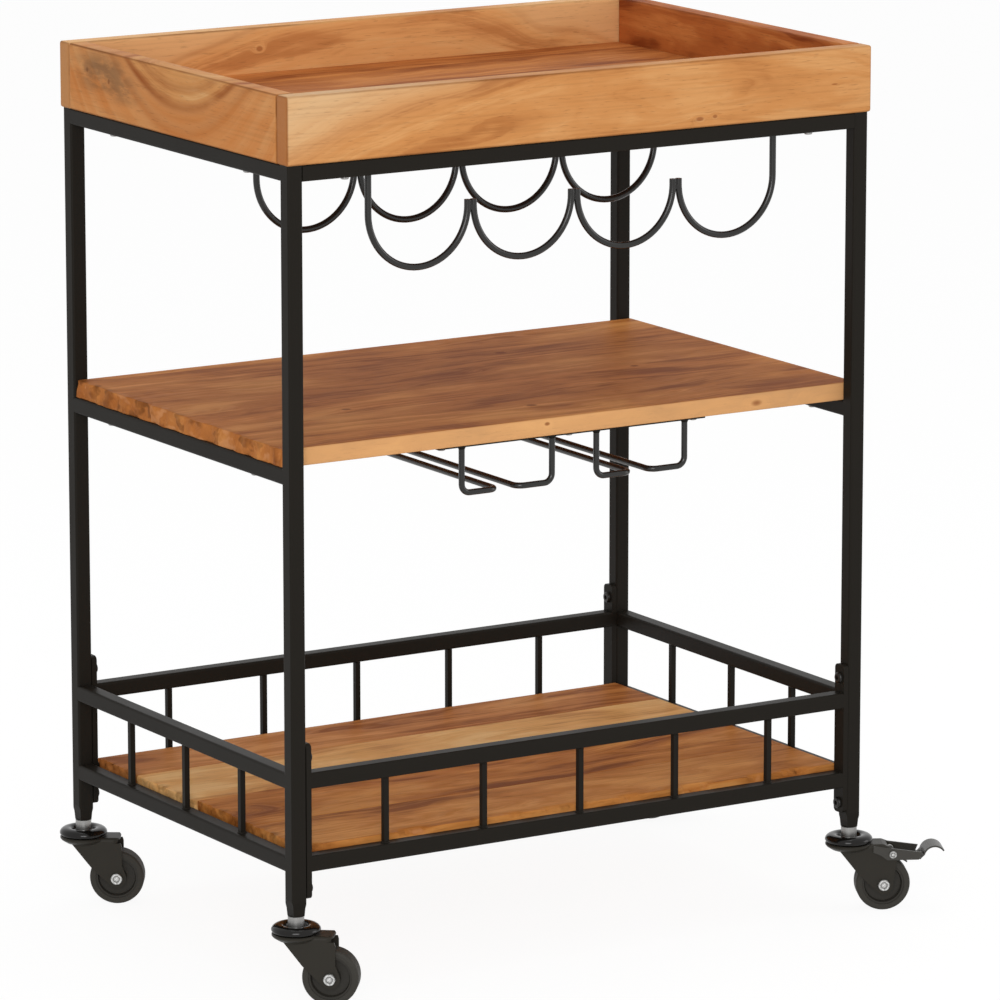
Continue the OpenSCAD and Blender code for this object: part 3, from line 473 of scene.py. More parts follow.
def stained_rings(tree, log, colour, dark, rings):
    """Dark rings, each as (depth, width, strength)."""
    for ring_depth, width, strength in rings:
        off = calc(tree, "DIVIDE", calc(tree, "SUBTRACT", log["Depth"], ring_depth), width)
        uneven = calc(tree, "MULTIPLY_ADD", log["Cloud"], 0.7, 0.5)
        share = calc(tree, "MULTIPLY", calc(tree, "MULTIPLY", bell(tree, off), uneven), strength)
        colour = blend_colours(tree, share, colour, darker(dark, 0.72, 0.58, 0.48))
    return colour


def hairs_and_pores(tree, log, colour, dark, hairs, pores):
    """Dark fibres and open pores."""
    hair = calc(tree, "MULTIPLY", spread(tree, log["Fibre"], 0.44, 0.76), hairs)
    colour = blend_colours(tree, hair, colour, darker(dark, 0.5))
    return blend_colours(tree, calc(tree, "MULTIPLY", log["Pore"], pores), colour, darker(dark, 0.35))


# %% [markdown]
# ### What the workshop did to the boards, and painted shade
# The two sawn ends are darker, because open pores drink more oil. Rain or glue left a stain here
# and there. The rounded edges of the tray's boards get painted shade. Torn fibres are raw, with
# bright chips that are partly painted highlight, and painted shade in their deep cracks. The board
# meshes carry an attribute called torn, which says where the wood is rounded or torn, so these
# marks follow the real shape.

# %% Stains, handled edges and torn fibres
stain_brown = linear(112, 84, 58)
chip_gold = linear(214, 152, 104)


def stained(tree, place, colour, stains):
    """Patchy stains, each as (centre, size, strength)."""
    for centre, size, strength in stains:
        spot = vcalc(tree, "LENGTH", vcalc(tree, "DIVIDE", vcalc(tree, "SUBTRACT", place, centre), size))
        patchy = spread(tree, stretched_noise(tree, place, (34, 40, 90), 3.0, 0.6), 0.3, 0.62)
        share = calc(tree, "MULTIPLY", calc(tree, "MULTIPLY", spread(tree, spot, 1.0, 0.2), patchy), strength)
        colour = blend_colours(tree, share, colour, stain_brown)
    return colour


def torn_mark(tree):
    """The mask that a board's mesh carries."""
    mark = tree.nodes.new("ShaderNodeAttribute")
    mark.attribute_name = "torn"
    return mark.outputs["Fac"]


def shaded_edges(tree, log, colour, dark, strength):
    """Painted shade on the rounded edges, patchy with the clouds."""
    painted_shade = calc(tree, "MULTIPLY", torn_mark(tree), strength)
    painted_shade = calc(tree, "MULTIPLY", painted_shade, calc(tree, "ADD", log["Cloud"], 0.5))
    return blend_colours(tree, painted_shade, colour, darker(dark, 0.45))


def torn_fibres(tree, place, colour, light, dark):
    """Raw wood with bright chips, partly painted highlight, and painted shade in the cracks."""
    mark = torn_mark(tree)
    chip = stretched_noise(tree, place, (60, 42, 75), 2.0, 0.5)
    raw_wood = tuple(0.55 * a + 0.45 * b for a, b in zip(light, dark))
    colour = blend_colours(tree, calc(tree, "MULTIPLY", mark, 0.75), colour, raw_wood)
    # Bright chips: pale torn fibre, partly painted highlight.
    bright = calc(tree, "MULTIPLY", mark, spread(tree, chip, 0.57, 0.66))
    colour = blend_colours(tree, calc(tree, "MULTIPLY", bright, 0.55), colour, chip_gold)
    # Painted shade in the cracks between the torn fibres.
    cracks = calc(tree, "MULTIPLY", mark, spread(tree, chip, 0.44, 0.36))
    return blend_colours(tree, calc(tree, "MULTIPLY", cracks, 0.6), colour, darker(dark, 0.3))


# %% [markdown]
# One function puts all of this together into the finish of one board. Its settings are the log's
# own: where the middle runs, how it bends and wavers, and which mark is strong on this board.

# %% A finish for one board
knot_share = 0.7
end_reach = (0.0016, 0.0003)
front_reach = (0.0012, 0.0004)
fibre_relief = 0.00010


def board_finish(node, turn, colours, middle, bow, waver, seed, band=60.0, heart=0.3, edge=0.012,
                 mix=(0.3, 0.45, 0.25), contrast=1.0, swirls=(), knots=(), rings=(), strips=None,
                 stains=(), edge_shade=0.0, torn=False, end_shade=0.72, end_tone=0.62, front_lightening=0.0,
                 hairs=0.16, pores=0.22, rough=0.52, gloss=0.10):
    """The finish of one board.

    turn is the angle in degrees that brings the grain onto x. colours are sap, pale, light and dark as
    seen on a screen. middle, bow and waver place the log's middle. band is how many seasons lie in a
    metre. Sapwood begins at the depth heart and blends in over edge. mix is the share of bands, streaks
    and clouds. swirls and knots are (centre, size, push), rings (depth, width, strength) and stains
    (centre, size, strength). strips is (strip width, how much strips differ). end_shade is how much of
    its colour a sawn end keeps and end_tone how bright the stain on it is. front_lightening is how much
    the front edge is lightened towards the sapwood colour. edge_shade is how strong the painted shade
    on the rounded edges is, and hairs and pores are strengths."""
    colours = [linear(*c) for c in colours]
    sap, _, light, dark = colours
    material, tree, shader = start_material("wood_" + node, light, rough, gloss=gloss)
    true_place, parts, half_length, half_depth = board_axes(tree, node, turn)
    place, tone = true_place, None
    if strips:
        place, tone = glued_strips(tree, true_place, parts[1], strips[0], seed)
    push, core = branch_marks(tree, true_place, swirls, knots)
    log = use_group(tree, log_group, Place=place, Middle=middle, Bow=bow, Waver=waver, Push=push,
                    Seed=seed, Band=band)
    colour = figured_wood(tree, log, colours, heart, edge, mix, contrast)
    if strips:
        colour = toned(tree, colour, tone, strips[1])
    colour = stained_rings(tree, log, colour, dark, rings)
    colour = hairs_and_pores(tree, log, colour, dark, hairs, pores)
    # Lightens the front face and the front edge towards the sapwood colour.
    if front_lightening:
        at_front = spread(tree, parts[1], front_reach[0] - half_depth, front_reach[1] - half_depth)
        colour = blend_colours(tree, calc(tree, "MULTIPLY", at_front, front_lightening), colour, sap)
    if knots:
        knot_brown = darker(dark, 0.62, 0.42, 0.28)
        colour = blend_colours(tree, calc(tree, "MULTIPLY", core, knot_share), colour, knot_brown)
    to_end = calc(tree, "SUBTRACT", half_length, calc(tree, "ABSOLUTE", parts[0]))
    at_end = calc(tree, "MULTIPLY", spread(tree, to_end, *end_reach), 1 - end_shade)
    colour = blend_colours(tree, at_end, colour, darker(dark, end_tone))
    colour = stained(tree, place, colour, stains)
    # Painted shade along the rounded edges of the board.
    if edge_shade:
        colour = shaded_edges(tree, log, colour, dark, edge_shade)
    if torn:
        colour = torn_fibres(tree, place, colour, light, dark)
    tree.links.new(colour, shader.inputs["Base Color"])
    tree.links.new(calc(tree, "MULTIPLY_ADD", log["Line"], 0.10, rough - 0.05), shader.inputs["Roughness"])
    relief = calc(tree, "SUBTRACT", calc(tree, "MULTIPLY", log["Fibre"], 0.6), log["Pore"])
    bump(tree, shader, relief, fibre_relief)
    print(material.name, "has", len(tree.nodes), "nodes")
    return material


def dress(node, material):
    """A CAD part keeps its mesh and takes another finish."""
    for slot in nodes[node].material_slots:
        slot.material = material


# %% [markdown]
# ### The tray's boards
# Four boards stand on edge round a glued floor. The front board is even and golden with a cream
# left end and a few small knots near its lower edge.

# %% Finish the front board
board_wood = {}
board_wood["tray_front"] = board_finish(
    "tray_front", 0, ((216, 176, 130), (214, 156, 98), (202, 138, 79), (172, 106, 54)),
    middle=(0.12, 0.030, 0.004), bow=0.42, waver=0.045, seed=3.1, heart=0.066, edge=0.024,
    mix=(0.1, 0.5, 0.4), contrast=1.15, edge_shade=0.6, end_shade=0.1, end_tone=1.0, hairs=0.22, pores=0.28,
    knots=[((0.118, -0.012, -0.022), (0.0075, 0.02, 0.0034), 0.012),
           ((0.134, -0.012, -0.021), (0.0045, 0.02, 0.003), 0.01),
           ((0.262, -0.012, -0.002), (0.006, 0.02, 0.0012), 0.002)])

# %% [markdown]
# The left board was cut where the trunk bends sharply, so it shows one big dark arch. Its far end
# is stained. The rear board shows an oval of heartwood, and the right board is the darkest.

# %% Finish the left, rear and right boards
board_wood["tray_left"] = board_finish(
    "tray_left", -90, ((202, 126, 64), (224, 176, 120), (210, 148, 88), (178, 108, 54)),
    middle=(-0.015, -0.006, 0.034), bow=-3.6, waver=0.012, seed=7.4, heart=0.041, edge=0.010,
    mix=(0.3, 0.25, 0.45), contrast=1.15, edge_shade=0.75, gloss=0.06,
    rings=[(0.041, 0.0042, 0.8), (0.026, 0.0035, 0.4), (0.060, 0.008, 0.3)],
    stains=[((0.125, 0.009, 0.010), (0.075, 0.03, 0.026), 0.7),
            ((0.085, 0.009, -0.004), (0.040, 0.03, 0.014), 0.45)],
    knots=[((0.152, 0.009, 0.010), (0.004, 0.02, 0.004), 0.004),
           ((0.112, 0.009, 0.004), (0.003, 0.02, 0.004), 0.003)])
board_wood["tray_rear"] = board_finish(
    "tray_rear", 0, ((232, 180, 124), (232, 180, 120), (226, 164, 102), (198, 132, 76)),
    middle=(0.02, 0.030, -0.012), bow=0.85, waver=0.030, seed=12.2, heart=0.072, edge=0.008,
    mix=(0.2, 0.45, 0.35), contrast=1.3, edge_shade=0.7, end_shade=0.2, end_tone=0.8,
    swirls=[((0.20, -0.01, 0.006), (0.035, 0.05, 0.02), 0.010)],
    rings=[(0.071, 0.0022, 0.3)],
    knots=[((-0.105, -0.009, 0.010), (0.006, 0.02, 0.0045), 0.012)])
board_wood["tray_right"] = board_finish(
    "tray_right", -90, ((196, 122, 66), (204, 128, 68), (180, 102, 50), (132, 62, 26)),
    middle=(0, 0.05, 0.0), bow=0.4, waver=0.05, seed=21.0, mix=(0.2, 0.4, 0.4), contrast=1.6,
    edge_shade=0.6, gloss=0.06)

# %% [markdown]
# ### The tray's floor and the shelves
# The tray's floor and the middle shelf are glued up from strips. The bottom shelf is four loose
# boards of unequal width, and the second from the rear is much paler than the rest.

# %% Finish the floor and the middle shelf
dress("tray_floor", board_finish(
    "tray_floor", 0, ((200, 132, 74), (202, 130, 70), (174, 104, 52), (130, 66, 28)),
    middle=(0, 0.02, 0.06), bow=0.05, waver=0.08, seed=31.0, mix=(0.1, 0.36, 0.54), contrast=1.15,
    strips=(0.078, 0.06), gloss=0.08))
board_wood["middle_shelf"] = board_finish(
    "middle_shelf", 0, ((228, 180, 126), (222, 154, 88), (196, 124, 64), (150, 84, 40)),
    middle=(0, 0.01, 0.05), bow=0.05, waver=0.08, seed=41.0, mix=(0.1, 0.28, 0.62), contrast=1.15,
    strips=(0.062, 0.05), torn=True, end_shade=0.25, front_lightening=0.6, gloss=0.03,
    knots=[((0.192, -0.180, -0.001), (0.012, 0.02, 0.006), 0.012),
           ((-0.03, -0.185, 0.003), (0.005, 0.015, 0.003), 0.004),
           ((-0.01, -0.13, 0.008), (0.009, 0.007, 0.01), 0.006),
           ((-0.16, -0.06, 0.008), (0.008, 0.006, 0.01), 0.006),
           ((0.10, 0.10, 0.008), (0.010, 0.008, 0.01), 0.006),
           ((0.17, -0.02, 0.008), (0.007, 0.006, 0.01), 0.006)])

# %% Finish the four loose boards
board_colours = [
    ((222, 158, 90), (222, 156, 88), (198, 128, 64), (146, 84, 36)),
    ((222, 158, 90), (218, 150, 80), (192, 120, 56), (138, 76, 32)),
    ((248, 204, 144), (248, 202, 138), (236, 178, 110), (204, 142, 82)),
    ((222, 158, 96), (220, 154, 92), (196, 126, 68), (150, 86, 40)),
]
for number, colours in enumerate(board_colours):
    board = "bottom_board_%d" % (number + 1)
    board_wood[board] = board_finish(
        board, 0, colours, middle=(0.1 - 0.1 * number, 0.008 * number - 0.012, 0.045), bow=0.25,
        waver=0.09, seed=51.0 + 7 * number, band=55, mix=(0.1, 0.34, 0.56), contrast=1.35, torn=True,
        end_shade=0.35, gloss=0.03)
print("wooden finishes:", len(board_wood) + 1)

# %% [markdown]
# ### Eased edges and rough sawn ends
# Sandpaper took the sharp edges off the tray's boards, which leaves a fine groove at every joint.
# The shelves' left ends were never planed: the saw left teeth and torn fibres there, and the front
# edge lost a few splinters. The CAD boards are smooth, so each of these boards is built again as a
# lattice of points with rounded edges. Every change goes inwards, so a board keeps its true size.

# %% Where the lattice lines of a board run
rounding_steps = (0, 0.3, 0.65, 1)
fine_step = 0.0015
step_across, step_up = 0.0026, 0.0022


def lattice_line(a, b, rounding, step, fine_reach):
    """Places along one edge: close together at both roundings, and from a on as far as fine_reach."""
    line = [a + rounding * k for k in rounding_steps]
    while line[-1] + fine_step < a + fine_reach:
        line.append(line[-1] + fine_step)
    start, end = line[-1], b - rounding
    count = max(1, round((end - start) / step))
    line += [start + (end - start) * k / count for k in range(1, count + 1)]
    return line + [b - rounding * k for k in rounding_steps[-2::-1]]


# %% [markdown]
# Two small functions move a point. At the left end, broad hollows from splitting and fine teeth
# from the saw eat into the board. Along the front edge, splinters are lost where a slow wave says
# so. Both give a mark from 0 to 1 as well, which becomes the torn attribute.

# %% Tear the left end and splinter the front edge
from mathutils import noise as rough_field

end_reach_in = 0.014
hollow_waves, tooth_waves, drop_waves = (60, 70), (310, 120), 260
fibre_drop = 0.0011
lip_reach_in, lip_reach_down = 0.006, 0.007
long_splinters, short_splinters = 27, 130


def wave(*place):
    """Smooth noise from about -1 to 1 at a place."""
    return rough_field.noise(Vector(place))


def tear_end(place, low, top_side, seed, tooth, gouge):
    """Eats into the left end: tooth is how deep, gouge the share of that in broad hollows. Waves are
    counted per metre, and the fibres on the top side hang down a little."""
    fade = max(0.0, 1 - (place.x - low.x) / end_reach_in) ** 1.5
    if fade == 0:
        return 0.0
    coarse = 0.5 + 0.8 * wave(place.y * hollow_waves[0], place.z * hollow_waves[1], seed)
    teeth = abs(wave(place.y * tooth_waves[0], place.z * tooth_waves[1], seed + 9))
    bite = min(1.0, max(0.0, gouge * coarse + (1.4 - gouge) * teeth))
    place.x += bite * tooth * fade
    place.z -= fibre_drop * fade * max(0.0, wave(place.y * drop_waves, 3, seed)) * top_side
    return min(1.0, 1.3 * fade * bite)


def splinter_front(place, low, high, seed, nibble):
    """Takes splinters off the upper front edge, as deep as nibble."""
    lip = max(0.0, 1 - (place.y - low.y) / lip_reach_in) * max(0.0, 1 - (high.z - place.z) / lip_reach_down)
    if lip == 0:
        return 0.0
    slow, quick = wave(place.x * long_splinters, 5, seed), wave(place.x * short_splinters, 8, seed)
    loss = max(0.0, 0.9 * slow + 0.5 * abs(quick) - 0.05)
    place.y += loss * lip * nibble
    place.z -= loss * lip * nibble
    return min(1.0, 2.2 * loss * lip)


# %% [markdown]
# Every new piece says two things: the body that it moves with, and the CAD part that it stands for,
# if there is one.

# %% Put a piece in the scene
slot_of = {part["node"]: part["material_slot"] for part in frame["record"]["subparts"]}


def place_piece(name, mesh, body, stands_for=None):
    """Puts a mesh in the scene with the body it moves with and the CAD part it stands for."""
    piece = bpy.data.objects.new(name, mesh)
    scene.collection.objects.link(piece)
    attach(piece, body)
    if stands_for:
        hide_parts(stands_for)
    print(name, "has", len(mesh.polygons), "faces")
    return piece


# %% [markdown]
# The lattice has one sheet of points for each of the six sides. Sides share the points on their
# common edges, so the board is closed. A point near an edge is pulled onto the rounding.

# %% Build one board
def sawn_board(node, seed=0.0, tooth=0.0, rounding=0.0008, gouge=0.45, nibble=0.0, step=0.005):
    """A board in the box of a CAD board. Without a tooth its edges are only rounded, and marked there."""
    low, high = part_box(node)
    lines = [lattice_line(low.x, high.x, rounding, step, end_reach_in if tooth else 0.0),
             lattice_line(low.y, high.y, rounding, step_across, lip_reach_in if nibble else 0.0),
             lattice_line(low.z, high.z, rounding, step_up, 0.0)]
    last = [len(line) - 1 for line in lines]
    points, faces, marks, index = [], [], [], {}

    def point(*key):
        if key not in index:
            place = Vector(line[k] for line, k in zip(lines, key))
            inner = Vector(min(max(place[a], low[a] + rounding), high[a] - rounding) for a in range(3))
            away = place - inner
            place = inner + away * (rounding / away.length)
            if tooth:
                mark = tear_end(place, low, place.z > inner.z, seed, tooth, gouge)
            else:
                mark = sorted(abs(c) for c in away)[1] / rounding
            if nibble:
                mark = max(mark, splinter_front(place, low, high, seed, nibble))
            index[key] = len(points)
            points.append(place)
            marks.append(mark)
        return index[key]

    for axis in range(3):
        u, v = (axis + 1) % 3, (axis + 2) % 3
        for end in (0, last[axis]):
            for i in range(last[u]):
                for j in range(last[v]):
                    face = []
                    for di, dj in ((0, 0), (1, 0), (1, 1), (0, 1)):
                        key = [0, 0, 0]
                        key[axis], key[u], key[v] = end, i + di, j + dj
                        face.append(point(*key))
                    faces.append(face if end else face[::-1])
    mesh = bpy.data.meshes.new(node + "_wood")
    mesh.from_pydata(points, [], faces)
    mesh.polygons.foreach_set("use_smooth", [True] * len(faces))
    mesh.attributes.new("torn", "FLOAT", "POINT").data.foreach_set("value", marks)
    mesh.materials.append(board_wood[node])
    return place_piece(node + "_wood", mesh, "cart", node)


# %% [markdown]
# The tray's boards were sanded well, so their edges are rounder. The first bottom board lost
# splinters along its whole front edge, so its lattice is finer there.

# %% Build the tray's boards and the shelves
bottom_teeth = (0.0042, 0.0036, 0.0030, 0.0036)

for side in ("front", "left", "rear", "right"):
    sawn_board("tray_" + side, rounding=0.0022)
sawn_board("middle_shelf", seed=2.0, tooth=0.0034, rounding=0.0014, gouge=0.95)
for number, tooth in enumerate(bottom_teeth):
    splintered = {"nibble": 0.0090, "step": 0.0025} if number == 0 else {}
    sawn_board("bottom_board_%d" % (number + 1), seed=11.0 + 3 * number, tooth=tooth, **splintered)

# %% [markdown]
# ## Metal and plastic
# Powder coat is melted paint dust. It lies slightly wavy, like orange peel, which breaks up the
# reflections, and hands leave soft smudges on it. One group serves every painted, plated or
# moulded surface, each with its own size of wave.

# %% The skin of a finish
skin_group, g_in, g_out = start_group(
    "painted_skin",
    [("Place", "Vector", None), ("Wave Size", "Float", 0.0012), ("Rough", "Float", 0.4),
     ("Uneven", "Float", 0.08)],
    [("Rough", "Float"), ("Height", "Float")],
)
fine = noise(skin_group, vcalc(skin_group, "DIVIDE", g_in["Place"], g_in["Wave Size"]), 1.0, 2.0, 0.5)["Fac"]
smudge = noise(skin_group, g_in["Place"], 14.0, 3.0, 0.6)["Fac"]
feed(skin_group, g_out["Rough"], calc(skin_group, "ADD", g_in["Rough"], calc(
    skin_group, "MULTIPLY", calc(skin_group, "SUBTRACT", smudge, 0.5), g_in["Uneven"])))
feed(skin_group, g_out["Height"], fine)
print(skin_group.name, "has", len(skin_group.nodes), "nodes")


def painted(name, colour, rough, wave, depth, metallic=0.0, uneven=0.16, gloss=0.5):
    """A painted, plated or moulded finish. wave is how wide its ripples are and depth how high, in metres."""
    material, tree, shader = start_material(name, colour, rough, metallic, gloss)
    where = tree.nodes.new("ShaderNodeTexCoord")
    skin = use_group(tree, skin_group, Place=where.outputs["Object"], Wave_Size=wave, Rough=rough,
                     Uneven=uneven)
    tree.links.new(skin["Rough"], shader.inputs["Roughness"])
    bump(tree, shader, skin["Height"], depth)
    print(name, "has roughness", rough)
    return material


# %% [markdown]
# The frame is matt powder coat and the racks are glossier enamel over drawn wire. The casters
# have a thin even coat, their bearing caps are dipped in gloss, and wheels and treads are
# moulded. A slot is the record's name for a finish, so each slot's parts are dressed together.

# %% Dress the frame, casters and fasteners by slot
slots = {
    "frame_paint": painted("black_powder_coat", (0.0150, 0.0128, 0.0100),
                           rough=0.40, wave=0.0011, depth=0.00003, gloss=0.06),
    "caster_paint": painted("black_caster_coat", (0.0270, 0.0240, 0.0185),
                            rough=0.42, wave=0.0008, depth=0.00002, gloss=0.15),
    "caster_gloss": painted("black_gloss_enamel", (0.0060, 0.0052, 0.0045),
                            rough=0.14, wave=0.004, depth=0.00002, uneven=0.06, gloss=0.26),
    "wheel_plastic": painted("grey_nylon", (0.0330, 0.0300, 0.0250),
                             rough=0.50, wave=0.0006, depth=0.00002, gloss=0.18),
    "tread": painted("grey_rubber", (0.0400, 0.0370, 0.0310),
                     rough=0.62, wave=0.0005, depth=0.00003, gloss=0.18),
    "zinc": painted("bright_zinc", (0.34, 0.335, 0.325),
                    rough=0.38, wave=0.0011, depth=0.00004, metallic=0.8, uneven=0.5),
    "black_fastener": painted("black_oxide", (0.0110, 0.0095, 0.0080),
                              rough=0.34, wave=0.0006, depth=0.00001, gloss=0.3),
}
for node, slot in slot_of.items():
    if slot in slots:
        dress(node, slots[slot])
print("slots dressed:", len(slots))

# %% Dress the racks and the brake levers on their own
rack_steel = painted("black_rack_enamel", (0.0120, 0.0112, 0.0100),
                     rough=0.24, wave=0.0020, depth=0.00003, gloss=0.42)
lever_steel = painted("black_pressed_lever", (0.0360, 0.0330, 0.0270),
                      rough=0.34, wave=0.0009, depth=0.00002, gloss=0.40)
for node in ("bottle_rack_front", "bottle_rack_rear", "glass_rack_left", "glass_rack_right"):
    dress(node, rack_steel)
for node in ("brake_lever_front_right", "brake_lever_rear_right"):
    dress(node, lever_steel)
print("racks and levers dressed")

# %% [markdown]
# The axle bolts and brake pins are plated with zinc. Shade is painted into the ring around the
# dimple of each head and under the head's edge. Both are found by the distance from the joint's own
# axis, so the rings stay centred whichever way a caster points.

# %% Plate the axle bolts and the brake pins
joints = {joint["child"]: joint for joint in frame["record"]["behaviour"]["joints"]}
corner_names = ("front_left", "front_right", "rear_left", "rear_right")
braked_corners = ("front_right", "rear_right")
# Width and strength of the painted shade on the bolt heads.
ring_width = 0.0006
rim_shade_width = 0.0014
painted_shade_share = 0.8
mottles_per_metre = (700, 700, 700)


def bolt_finish(node, joint, dimple, edge):
    """Zinc with painted shade in a ring round the dimple and under the head's edge. dimple and edge are radii
    from the joint's axis, in metres.
    """
    material, tree, shader = start_material("plated_" + node, (0.5, 0.5, 0.5), 0.36, 0.8)
    where, centre, turn = add_nodes(tree, "ShaderNodeTexCoord", "ShaderNodeMapping", "ShaderNodeMapping")
    centre.inputs["Location"].default_value = tuple(-c for c in joint["pos_m"])
    turn.inputs["Rotation"].default_value = (0, 0, -math.atan2(-joint["axis"][0], joint["axis"][1]))
    tree.links.new(where.outputs["Object"], centre.inputs["Vector"])
    tree.links.new(centre.outputs["Vector"], turn.inputs["Vector"])
    place = turn.outputs["Vector"]
    from_axis = vcalc(tree, "LENGTH", vcalc(tree, "MULTIPLY", place, (1, 0, 1)))
    # Painted shade: a dark ring round the dimple and a dark band under the head's edge.
    ring = bell(tree, calc(tree, "DIVIDE", calc(tree, "SUBTRACT", from_axis, dimple), ring_width))
    painted_shade = calc(tree, "MAXIMUM", ring, spread(tree, from_axis, edge - rim_shade_width, edge))
    mottle = stretched_noise(tree, place, mottles_per_metre, 2.0, 0.6)
    colour = blend_colours(tree, spread(tree, mottle, 0.35, 0.65), (0.34, 0.34, 0.33), (0.74, 0.74, 0.73))
    colour = blend_colours(tree, calc(tree, "MULTIPLY", painted_shade, painted_shade_share), colour, (0.045, 0.042, 0.036))
    tree.links.new(colour, shader.inputs["Base Color"])
    bump(tree, shader, mottle, 0.00005)
    print(material.name, "has", len(tree.nodes), "nodes")
    return material


for corner in corner_names:
    dress("axle_" + corner, bolt_finish("axle_" + corner, joints["wheel_" + corner], 0.0027, 0.0056))
for corner in braked_corners:
    dress("brake_pin_" + corner, bolt_finish("brake_pin_" + corner, joints["brake_" + corner], 0.0018, 0.0037))
print("bolts plated:", len(corner_names) + len(braked_corners))

# %% [markdown]
# ## Shapes set on points
# Welds and springs are the same small shape many times over. Geometry Nodes suit such repeats: a
# mesh of loose points marks the places, every point says how its copy is turned and sized, and
# one tree makes the shape and sets it on all of them. The copies are then made real and painted.

# %% Parts that both trees share
def start_tree(name, inputs):
    """A Geometry Nodes tree that takes and gives geometry; inputs are (label, kind, value)."""
    tree = bpy.data.node_groups.new(name, "GeometryNodeTree")
    for label, kind, value in [("Geometry", "Geometry", None), *inputs]:
        socket = tree.interface.new_socket(label, in_out="INPUT", socket_type="NodeSocket" + kind)
        if value is not None:
            socket.default_value = value
    tree.interface.new_socket("Geometry", in_out="OUTPUT", socket_type="NodeSocketGeometry")
    return tree, tree.nodes.new("NodeGroupInput").outputs, tree.nodes.new("NodeGroupOutput").inputs


def set_on_points(tree, points, shape, **marks):
    """One real copy of a shape on each point. marks says which point attribute gives Rotation or Scale."""
    copies, real = add_nodes(tree, "GeometryNodeInstanceOnPoints", "GeometryNodeRealizeInstances")
    tree.links.new(points, copies.inputs["Points"])
    tree.links.new(shape, copies.inputs["Instance"])
    for label, attribute in marks.items():
        mark = tree.nodes.new("GeometryNodeInputNamedAttribute")
        mark.data_type = "FLOAT_VECTOR"
        mark.inputs["Name"].default_value = attribute
        tree.links.new(mark.outputs["Attribute"], copies.inputs[label])
    tree.links.new(copies.outputs[0], real.inputs[0])
    return real.outputs[0]


def smooth_and_paint(tree, shape, finish):
    """Smooth shading and a material for the whole shape."""
    smooth, paint = add_nodes(tree, "GeometryNodeSetShadeSmooth", "GeometryNodeSetMaterial")
    tree.links.new(shape, smooth.inputs[0])
    tree.links.new(smooth.outputs[0], paint.inputs["Geometry"])
    tree.links.new(finish, paint.inputs["Material"])
    return paint.outputs[0]


# %% Mark points and grow shapes on them
def marked_points(name, marks):
    """A mesh of loose points; each mark is (place, turn, size)."""
    mesh = bpy.data.meshes.new(name)
    mesh.from_pydata([place for place, _, _ in marks], [], [])
    for label, column in (("turn", 1), ("size", 2)):
        attribute = mesh.attributes.new(label, "FLOAT_VECTOR", "POINT")
        attribute.data.foreach_set("vector", [c for mark in marks for c in mark[column]])
    return mesh


def grow(name, tree, points, body, slot, **inputs):
    """Runs a Geometry Nodes tree on a mesh of points and keeps the result as a plain mesh."""
    source = bpy.data.objects.new(name + "_points", points)
    scene.collection.objects.link(source)
    modifier = source.modifiers.new("grow", "NODES")
    modifier.node_group = tree
    for item in tree.interface.items_tree:
        key = item.name.replace(" ", "_")
        if item.in_out == "INPUT" and key in inputs:
            modifier[item.identifier] = inputs[key]
    bpy.context.view_layer.update()
    shape = bpy.data.meshes.new_from_object(source.evaluated_get(bpy.context.evaluated_depsgraph_get()))
    shape.name = name
    bpy.data.objects.remove(source)
    return place_piece(name, shape, body)


# %% [markdown]
# ### Weld beads
# Every spindle and rod is welded at both ends, and a small collar of melted steel stays there.
# A bead is a short cone, pushed slightly out of shape by noise.

# %% A tree that sets beads on points
bead_sides, bead_rings = 14, 3
bead_top_share = 0.66
lumps_per_metre = 700.0


def bead_tree():
    """Sets a lumpy cone on every point, turned and sized by the point's own marks."""
    tree, source, result = start_tree("weld_beads", [
        ("Width", "Float", 0.0046), ("Height", "Float", 0.0014), ("Unevenness", "Float", 0.0004),
        ("Finish", "Material", None)])
    bead, lump, move = add_nodes(tree, "GeometryNodeMeshCone", "ShaderNodeTexNoise", "GeometryNodeSetPosition")
    bead.inputs["Vertices"].default_value = bead_sides
    bead.inputs["Side Segments"].default_value = bead_rings
    tree.links.new(calc(tree, "MULTIPLY", source["Width"], bead_top_share), bead.inputs["Radius Top"])
    tree.links.new(source["Width"], bead.inputs["Radius Bottom"])
    tree.links.new(source["Height"], bead.inputs["Depth"])
    beads = set_on_points(tree, source["Geometry"], bead.outputs["Mesh"], Rotation="turn", Scale="size")
    lump.inputs["Scale"].default_value = lumps_per_metre
    offset = vcalc(tree, "SCALE", vcalc(tree, "SUBTRACT", lump.outputs["Color"], (0.5, 0.5, 0.5)))
    tree.links.new(source["Unevenness"], offset.node.inputs["Scale"])
    tree.links.new(beads, move.inputs["Geometry"])
    tree.links.new(offset, move.inputs["Offset"])
    tree.links.new(smooth_and_paint(tree, move.outputs[0], source["Finish"]), result[0])
    print(tree.name, "has", len(tree.nodes), "nodes")
    return tree


# %% [markdown]
# The basket's spindles stand at an even pitch between its two rails. The stemware rods hang from
# two steel strips, and the bottle racks hang from the tray's frame by their outer ends. Most
# places are read from the CAD parts, so a bead always sits on the part that it joins.

# %% Mark every welded end and grow the beads
up, down = (0, 0, 0), (math.pi, 0, 0)
round_bead, hanger_bead, rack_bead = (1, 1, 1), (0.95, 0.95, 2.2), (1.05, 1.05, 2.4)
rail_top, rail_under = 0.1315, 0.1915
pitch = 0.101
rod_half = 0.00275
rack_end_x = 0.20995
rack_end_y = {"bottle_rack_front": -0.184, "bottle_rack_rear": 0.010}
rack_end_down = 0.002

